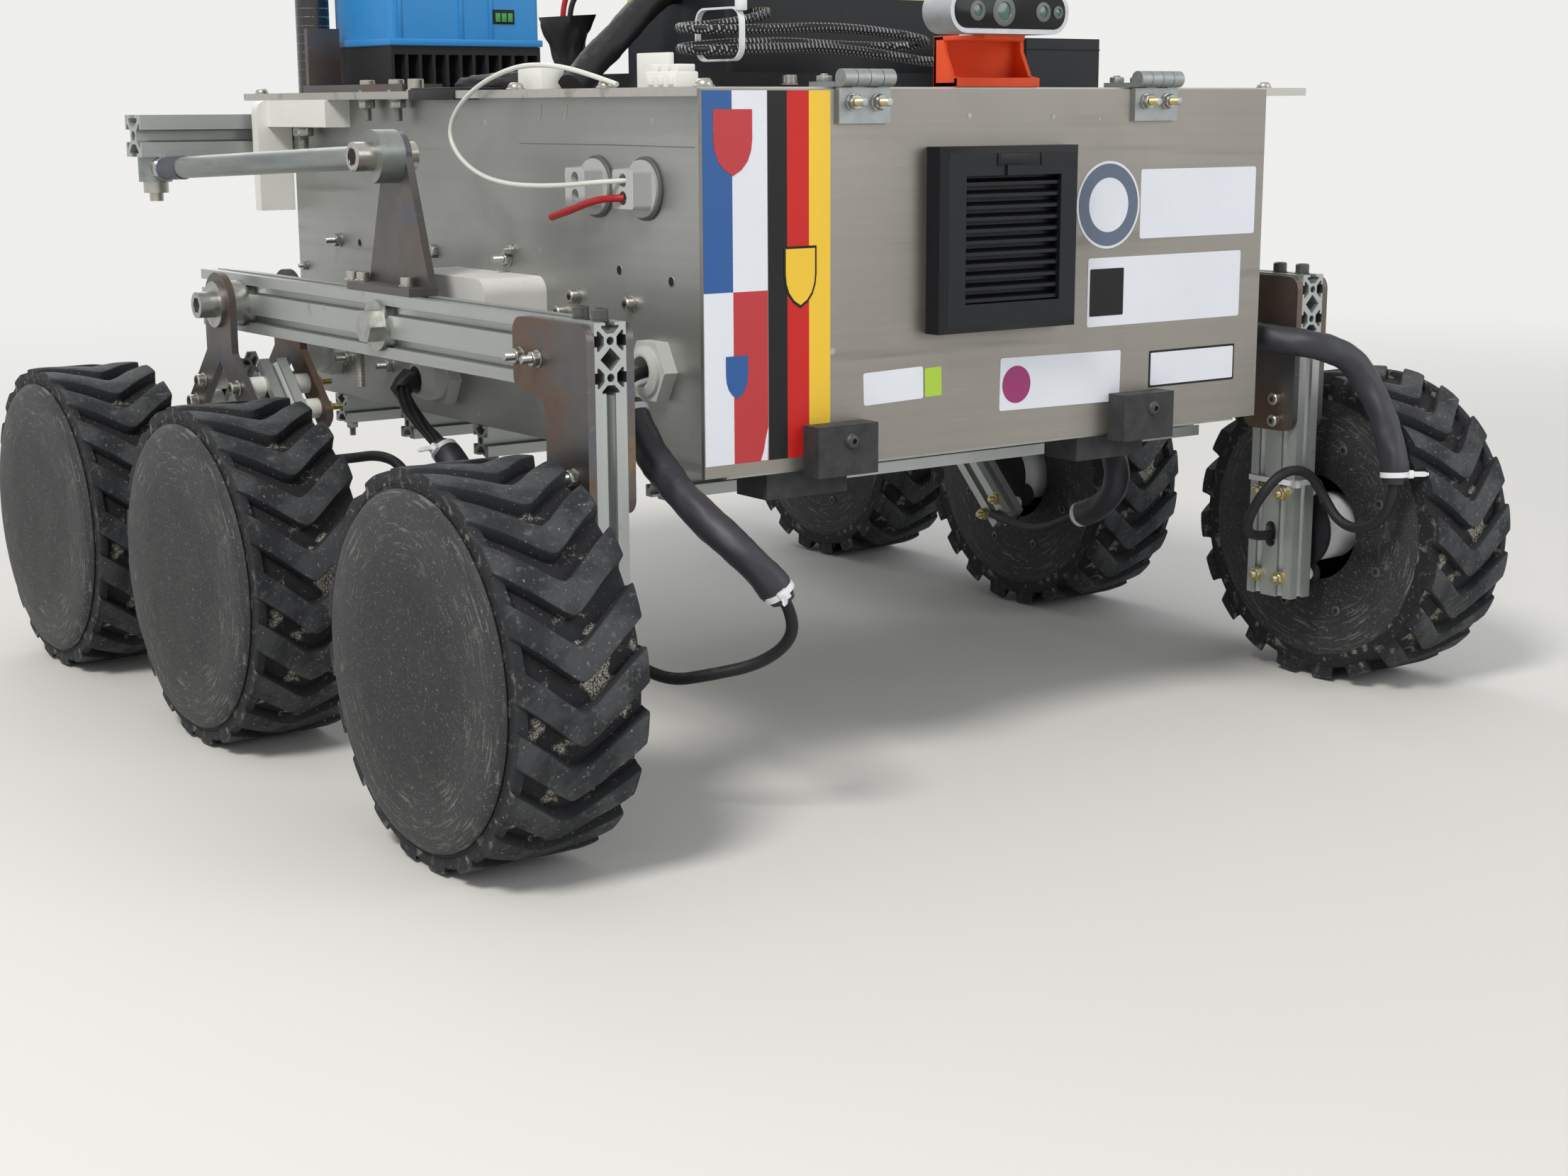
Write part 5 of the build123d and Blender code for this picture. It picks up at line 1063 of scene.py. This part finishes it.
sticker("label_face", "vinyl_white", label(123.8, 199.7, 227.4, 248.3, 0, 0.8), lift=0.15)
sticker("label_strip", "vinyl_green", label(-64.2, -51.5, 234.4, 251.6, 1.5, 0.8))
sticker("door_specks", "mark_pale", ring((-31.7, 398.6), 1.5, 10), ring((35.0, 397.6), 1.6, 10),
        ring((73.3, 396.1), 0.8, 8))


# ---------------------------------------------------------------- screws and nuts
def nut_end(group, at, axis, flats=8.0, height=4.0, out=7.0, washer=5.0, metal="zinc"):
    """A washer, a nut and the thread that stands out of it."""
    axis, at = Vector(axis), Vector(at)
    if washer:
        group[metal].washer(washer, 0.9, at, axis, 28)
        at += axis * 0.85
    group[metal].hexagon(flats, height, at, axis, (random.random(), random.random(), 0.4))
    group[metal].thread(flats * 0.3, height + out, at, axis)


def blank():
    return {metal: Shape() for metal in ("zinc", "stainless", "yellow_zinc", "burnished", "seal")}


def close(group, prefix, body="chassis"):
    for metal, shape in group.items():
        if len(shape.bm.verts):
            shape.piece(f"{prefix}_{metal}", metal, "zinc_steel", body=body)
        else:
            shape.bm.free()


# y and z of what shows on a side panel
PANEL_NUTS = ((174.8, 311.0), (-72.1, 309.7), (100.6, 226.3), (166.0, 225.9))
PANEL_SMALL = ((234.3, 289.4), (-77.1, 315.7))
PANEL_HOLES = ((142.3, 310.2), (-204.9, 309.7), (-260.8, 306.1))
PANEL_CAPS = ((-155.0, 291.1), (-218.3, 290.6), (-138.3, 280.3), (-215.7, 227.3))
for letter, side in SIDES:
    group, out, x = blank(), (side, 0, 0), side * PANEL_X
    for y, z in PANEL_NUTS:
        nut_end(group, (x, y, z), out)
    for y, z in PANEL_SMALL:
        nut_end(group, (x, y, z), out, 5.5, 2.6, 3.0, 3.5)
    group["zinc"].hexagon(8, 4, (x, 27.6, 309.9), out)
    for y, z in PANEL_HOLES:
        # painted shade: a flat dark disc fills each hole where its inside would be in shade
        group["seal"].lathe([(0, 0.08), (2.7, 0.08), (2.7, -0.2), (0, -0.2)], (x, y, z), out, 24)
        group["zinc"].lathe([(2.7, 0.0), (2.7, 0.25), (3.3, 0.12), (3.3, 0.0)], (x, y, z), out, 24, closed=True)
    for y, z in PANEL_CAPS:
        group["stainless"].bolt(5.0, 0.8, 4.25, 5.0, (x, y, z), out)
    for y in (-31.0, 180.0):
        nut_end(group, (side * 200, y, 178), DOWN, out=6)
    close(group, f"panel_fasteners_{letter}")

LEG_NUTS = ((-243, 268, 6), (-262, 268, 6), (-299, 206, 5), (-299, 191, 5))     # y, z, length of thread
MOTOR_LEAN = {"front": 0.0, "middle": 45.0, "rear": -45.0}
LINK_Y, LINK_Z = -56, 375
for letter, side in SIDES:
    group, out, back = blank(), (side, 0, 0), (-side, 0, 0)
    stainless, burnished = group["stainless"], group["burnished"]
    for y, z, reach in LEG_NUTS:
        nut_end(group, (side * 296.0, y, z), out, out=reach)
        stainless.cap_screw(4.25, 5, (side * 266.0, y, z), back)
    for y in (-304, -284):
        burnished.bolt(5.0, 0.9, 4.6, 6, (side * LEG_X, y, 291), UP)
    # painted shade: a flat dark hexagon fills the steel ring's hole
    group["seal"].plate(ring((0, 0), 5.6, 6), 0.25, (side * 304, LINK_Y, LINK_Z), out)
    stainless.lathe([(5.7, 0.0), (5.7, 0.7), (8.0, 0.9), (8.9, 0.2), (8.9, 0.0)], (side * 304, LINK_Y, LINK_Z), out,
                    36, closed=True)
    for y, z in ((188.5, 215), (128.5, 215), (204.5, 199), (112.5, 199)):
        stainless.bolt(5.6, 1.0, 4.6, 5.4, (side * 309.0, y, z), out, 4.2)
        nut_end(group, (side * 253.0, y, z), back, 8, 4.4, 9, 5.2, "yellow_zinc")
    stainless.thread(2.6, 26, (side * LEG_X, -7, 252), DOWN)
    for y in (-1.1, -15.7, -77.2):
        stainless.bolt(5.4, 0.9, 4.25, 5, (side * LEG_X, y, 296), UP)
    for place, axle_y in PLACES:
        lean = radians(MOTOR_LEAN[place])
        for a in (-30, 30):
            for c in (-10, 10):
                y, z = axle_y + a * sin(lean) + c * cos(lean), AXLE_Z + a * cos(lean) - c * sin(lean)
                burnished.cap_screw(4.25, 4.6, (side * 303.0, y, z), out)
                nut_end(group, (side * 271.0, y, z), back, out=4, metal="yellow_zinc")
    close(group, f"gear_fasteners_{letter}")

HINGE_SCREWS = [x + dx for x in (-112.5, 119.5) for dx in (-9, 9)]
group = blank()
stainless = group["stainless"]
for y in (103.3, 59.7, 32.0):
    stainless.washer(6.5, 1.2, (EDGE_X, y, DECK_Z), UP)
    stainless.lathe([(0, 1), (5.4, 1), (5.4, 7.6), (5.0, 8), (3.0, 8.1), (2.7, 6), (0, 5.8)], (EDGE_X, y, DECK_Z),
                    UP, 28)
for y in (-101.2, -206.8, -308.0):
    stainless.bolt(6.0, 1.0, 5.0, 3.4, (EDGE_X, y, DECK_Z), UP, 3, button=True)
for y in (105.5, 59.0):
    nut_end(group, (EDGE_X, y, 410), DOWN, 10, 5, 9, 6)
for x, y in ((150, -300), (240, -300), (252, -180), (252, 40), (252, 250), (60, 280), (-120, 280), (EDGE_X, 282)):
    stainless.bolt(5.0, 0.9, 4.6, 3.0, (x, y, DECK_Z), UP, 3, button=True)
group["zinc"].hexagon(13, 6.5, (-216, 207, 391), DOWN)
group["zinc"].thread(3.8, 20, (-216, 207, 391), DOWN, 1.25)
for x, y, low in ((-95, -225, 417), (-158, -225, DECK_Z)):
    stainless.bolt(5.4, 1.0, 4.6, 5.0, (x, y, low), UP)
for x in HINGE_SCREWS:
    nut_end(group, (x, -294.5, 418), UP, 8, 3.6, 1.4, 0)
close(group, "deck_fasteners")

group = blank()
for x in HINGE_SCREWS:
    nut_end(group, (x, -321.0, 406.5), AHEAD, 8, 3.8, 7.0, 4.8)
    group["yellow_zinc"].thread(2.5, 11.5, (x, -321.0, 406.5), AHEAD)
for x, z in ((-130.7, 215.4), (112.6, 215.1)):
    group["burnished"].button_screw(4.6, 2.8, (x, -332.9, z), AHEAD)
close(group, "door_fasteners", "front_door")

# ---------------------------------------------------------------- camera and deck equipment
LENS_Z = 457
Shape().plate(rounded(84, 19.5, 9.0, centre=(-32.7, LENS_Z)), 0.7, (0, -353.7, 0), AHEAD, bevel=0.15).piece(
    "camera_glass", "glass", "camera_shell")
rings, irises = Shape(), Shape()
for x, radius in ((-58.2, 5.6), (-38.4, 8.4), (-8.2, 5.6), (3.4, 3.6)):
    rings.lathe([(radius, 0), (radius, 0.5), (radius - 0.6, 0.9), (radius * 0.62, 0.9), (radius * 0.58, 0.2),
                 (radius * 0.58, 0)], (x, -354.35, LENS_Z), AHEAD, 36, closed=True)
    irises.lathe([(0, 0.45), (radius * 0.3, 0.4), (radius * 0.57, 0.1), (0, 0.1)], (x, -354.4, LENS_Z), AHEAD, 28)
rings.piece("camera_rings", "lens_ring", "camera_shell")
irises.piece("camera_lenses", "iris", "camera_shell")

# the camera's printed stand: back wall, base, lip, shelf and two slanted cheeks
left, right, rear, top = -40.0, 23.3, -294.0, 444.5
shape = Shape()
for low, high, bevel in (((left, rear - 3, DECK_Z), (right, rear, top), 0.4),
                         ((left, -314.4, DECK_Z), (right, rear, 418), 0.4),
                         ((left, -316.6, DECK_Z), (right + 1.5, -312.6, 420.6), 0.6)):
    shape.block(low, high, bevel)
shape.plate([(left, -340.0), (-9, -340.0), (right, -303), (right, rear), (left, rear)], 2.6, (0, 0, top - 2.6),
            UP, up=(0, 1, 0), bevel=0.4)
cheek = ((rear, DECK_Z), (-316.0, DECK_Z), (-316.0, 420.6), (-311.0, 421.5), (-303.5, 436), (-303.0, top),
         (rear, top))
for x in (left, right - 3):
    shape.plate([(-y, z) for y, z in cheek], 3.0, (x + 3.0, 0, 0), (-1, 0, 0), bevel=0.3)
shape.piece("camera_stand", "orange", "orange_plastic", replaces=["camera_bracket"])
shape = Shape()
for x in (-2.7, 11.5):
    shape.button_screw(4.6, 2.8, (x, -304, 418), UP)
shape.piece("bracket_screws", "burnished", "zinc_steel")

blocks("converter_trim", "blue", "blue_paint", ((-187.5, 120.0, 447.2), (-64.5, 213.5, 452.0), 0.8),
       *(((x - 1.4, 120.8, 451), (x + 1.4, 123, 495), 0.5) for x in (-178.7, -130.5, -106.4)))
blocks("converter_port", "seal", "black_plastic", ((-104.5, 121.3, 463), (-87, 123, 473), 0.3))
blocks("converter_terminals", "terminal", "black_plastic",
       *(((x, 120.4, 464.4), (x + 3.8, 122, 470.6), 0.4) for x in (-102.6, -97.6, -92.6)))
blocks("edge_tape", "tape", "black_plastic", ((-224.0, -39, 409.3), (-190, 24, 415.9), 0.35),
       ((-223.8, -36, 415.6), (-184, 21, 417.0), 0.5), smooth=30)
blocks("deck_connectors", "white", "white_plastic", ((-205, -117, DECK_Z), (-188, -88, 430), 1.0),
       ((-191, -238, DECK_Z), (-187, -204, 435), 0.6), ((-205, -266, DECK_Z), (-189, -234, 424), 1.0),
       *(((-203, y - 3.6, 423.5), (-191, y + 3.6, 428), 0.6) for y in (-262, -251.5, -241)),
       *(((-206.2, y - 2.6, 416.5), (-204.5, y + 2.6, 421.5), 0.4) for y in (-262, -251.5, -241)))
blocks("front_box_seam", "seal", "black_plastic", ((66.1, -258.4, 438.6), (129.9, -197.6, 439.6), 0.3))
shape = Shape()
for x in (-92, 82):
    for y in (-160, -56):
        shape.lathe([(0, 0), (4.2, 0), (4.0, 0.8), (1.6, 0.9), (1.4, 0.2), (0, 0.2)], (x, y, 491.9), UP, 20)
shape.piece("lid_screws", "burnished", "black_plastic")
# the catch tab at the top of the grille's frame
shape = Shape()
for low, high, bevel in (((-21.9, -334.5, 369.8), (10.4, -333.6, 376.8), 0.4),
                         ((-23.4, -334.8, 369.6), (-22.2, -333.6, 377.0), 0.2),
                         ((10.7, -334.8, 369.6), (11.9, -333.6, 377.0), 0.2)):
    shape.block(low, high, bevel)
shape.piece("grille_tab", "grille", "grey_plastic", body="front_door")


def smooth_path(points, spacing=2.4):
    """Even points on a smooth line through a few places."""
    guide, path, _ = cord_line("guide", points, 1.0, "tape")
    data = guide.data
    bpy.data.objects.remove(guide)
    bpy.data.curves.remove(data)
    return resampled(path, spacing)


def loom_radius(t, angle):
    return 9.2 + 0.8 * folds(1.4, t * 7)(angle) + 0.35 * ((t * 9 + angle / (2 * pi)) % 1.0)


def crumpled(t, angle):
    return (7.6 + 2.4 * folds(1.8, t * 8 + 4)(angle)) * (1.0 - 0.35 * abs(sin(angle)))


def funnel(t, angle):
    fold, crease = folds(1.5, t * 3, (3, 0, 0))(angle), folds(3.2, t * 5, (0, 7, 0))(angle)
    return 6.2 + 12.5 * max(0.0, t - 0.15) ** 1.1 + (5.0 * fold + 2.6 * crease) * (0.25 + 0.75 * t)


loom = smooth_path([(-188, -124, 416), (-181, -121, 421), (-166, -119, 434), (-151, -118, 446), (-137, -116, 458),
                    (-122, -114, 470), (-111, -112, 477), (-98, -110, 478)])
sweep(Shape(), loom, loom_radius, 28).piece("taped_loom", "tape", "black_plastic", 50)
shape = sweep(Shape(), smooth_path([(-188, 16, 418.5), (-186, -10, 419.5), (-176, -36, 421), (-160, -56, 423),
                                    (-152, -62, 430)]), crumpled, 26)
sweep(shape, smooth_path([(-152, -62, 416), (-152, -62, 430), (-153, -62, 446), (-154, -62, 462)]), funnel, 30)
shape.piece("taped_joint", "tape", "black_plastic", 40)
for name, mat, points in (
        ("joint_lead_red", "red_wire",
         ((-158, -66, 461), (-157, -66, 474), (-146, -70, 486), (-124, -76, 488), (-100.2, -80, 482))),
        ("joint_lead_black", "cable",
         ((-148, -58, 461), (-147, -58, 472), (-136, -62, 482), (-118, -66, 484), (-100.2, -70, 476)))):
    cord, _, facts = lay_cord(name, points, 1.8, mat)
    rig.cord(cord, **facts, far_end="object", stiffness="medium", lay="loose")

shape = strap(Shape(), rounded(23.6, 43.6, 2.6), rounded(21.4, 41.4, 1.6), (LEG_X, -294, 148), UP, (0, 1, 0))
shape.block((268.2, -318.4, 145.4), (272.8, -313.0, 150.8), 0.6)
shape.piece("leg_tie", "tie", "white_plastic")

nuts, collars = Shape(), Shape()
for letter, side in SIDES:
    rear = Vector((side * 300, 282.5, 361))
    along = (Vector((side * 284, LINK_Y, LINK_Z)) - rear).normalized()
    nuts.hexagon(17, 7, rear + along * 12.6, along)
    collars.lathe([(7.4, 19.6), (8.2, 20.0), (8.4, 49.4), (7.4, 50.0)], rear, along, 36, closed=True)
nuts.piece("rod_nuts", "zinc", "zinc_steel")
collars.piece("rod_collars", "rod_sleeve", "cable_black")

shape = Shape()
for y in (-235.5, -182.5):
    shape.lathe([(16.4, 0.0), (18.0, 0.0), (18.3, 0.4), (18.3, 1.6), (17.8, 2.2), (16.4, 2.2)],
                (-PANEL_X, y, 358), (-1, 0, 0), 48, closed=True)
shape.piece("entry_seals", "entry_seal", "cable_black")

# pale oval marks and a dark line on the right-hand panel
marks, line = Shape(), [(90, 381.9), (196, 382.1), (286, 381.7), (286, 382.3), (196, 382.9), (90, 382.5)]
for y in (-116.6, -147.1):
    marks.plate([(1.9 * c - y + 1.6 * s, 401 + 5.0 * s) for c, s, _ in circle(1, 24)], 0.12,
                (-PANEL_X - 0.02, 0, 0), (-1, 0, 0))
marks.piece("panel_ovals", "mark_pale", "white_plastic", 0)
Shape().plate(line, 0.1, (-PANEL_X - 0.02, 0, 0), (-1, 0, 0)).piece(
    "panel_line", "mark_dark", "black_plastic", 0)

# ---------------------------------------------------------------- camera, light and floor
PHOTO = (2212, 3219.18)                       # width of the photo and focal length, in its pixels
YAW, PITCH, ROLL = (radians(angle) for angle in (36.109, 11.922, -0.221))
EYE = Vector((-931.1, -1363.3, 404.4)) * MM   # all from the fit to the CAD's own corners


def aim():
    """The photograph's viewpoint."""
    ahead = Vector((sin(YAW) * cos(PITCH), cos(YAW) * cos(PITCH), -sin(PITCH)))
    right = Vector((cos(YAW), -sin(YAW), 0))
    above = right.cross(ahead)
    axes = (right * cos(ROLL) + above * sin(ROLL), above * cos(ROLL) - right * sin(ROLL), -ahead)
    return Matrix.Translation(EYE) @ Matrix(axes).transposed().to_4x4()


lens = bpy.data.cameras.new("photo_camera")
lens.sensor_fit = "HORIZONTAL"
lens.sensor_width = 36.0
lens.lens = PHOTO[1] / PHOTO[0] * lens.sensor_width
lens.clip_start = 0.02
camera = add("photo_camera", lens)
camera.matrix_world = aim()
bpy.context.scene.camera = camera


def lamp(name, at, to, power, size, colour=(1, 1, 1)):
    data = bpy.data.lights.new(name, "AREA")
    data.shape = "DISK"
    data.size = size
    data.energy = power
    data.color = colour
    obj = add(name, data)
    obj.location = at
    obj.rotation_euler = (Vector(to) - Vector(at)).to_track_quat("-Z", "Y").to_euler()


lamp("key", (-2.6, -1.5, 3.2), (0, 0, 0.2), 105, 1.1, (1.0, 0.97, 0.93))
lamp("fill", (1.8, -3.2, 1.6), (0, 0, 0.2), 30, 2.4, (0.94, 0.97, 1.0))
lamp("back", (0.6, 3.0, 2.4), (0, 0, 0.3), 30, 2.0)

# the world shows as the backdrop and lights as a soft, slightly blue sky
world = bpy.data.worlds.new("studio")
bpy.context.scene.world = world
world.use_nodes = True
world.node_tree.nodes.clear()
sky = Nodes(world.node_tree)
light = sky.new("Background", {"Color": (0.93, 0.96, 1.0, 1), "Strength": 0.5})
seen = sky.new("Background", {"Color": BACKDROP})
sky.new("OutputWorld", {"Surface": sky.blend(sky.direct(), light, seen)})

# a paper floor that fades into the backdrop away from the rover
ground = Surface("floor_paper", "e2e0db", 0.85)
ground.shade(ground.noise(3, 3), 0.015)
ground.done()
far = ground.new("VectorMath", {0: ground.place}, operation="LENGTH").outputs["Value"]
fade = ground.times(ground.step(far, 0.9, 3.4), ground.direct())
glow = ground.new("Emission", {"Color": BACKDROP})
output = next(n for n in ground.tree.nodes if n.type == "OUTPUT_MATERIAL")
ground.feed(output, {"Surface": ground.blend(fade, ground.shader, glow)})
floor_mesh = bpy.data.meshes.new("floor")
grid = bmesh.new()
bmesh.ops.create_grid(grid, x_segments=8, y_segments=8, size=20)
grid.to_mesh(floor_mesh)
grid.free()
floor_mesh.materials.append(ground.mat)
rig.stage(add("floor", floor_mesh))

bpy.context.scene.view_settings.view_transform = "Standard"

bpy.context.view_layer.update()
low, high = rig.bounds()
with open("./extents.json", "w") as sizes:
    json.dump({"cad": [list(cad_low), list(cad_high)], "visual": [list(low), list(high)]}, sizes)
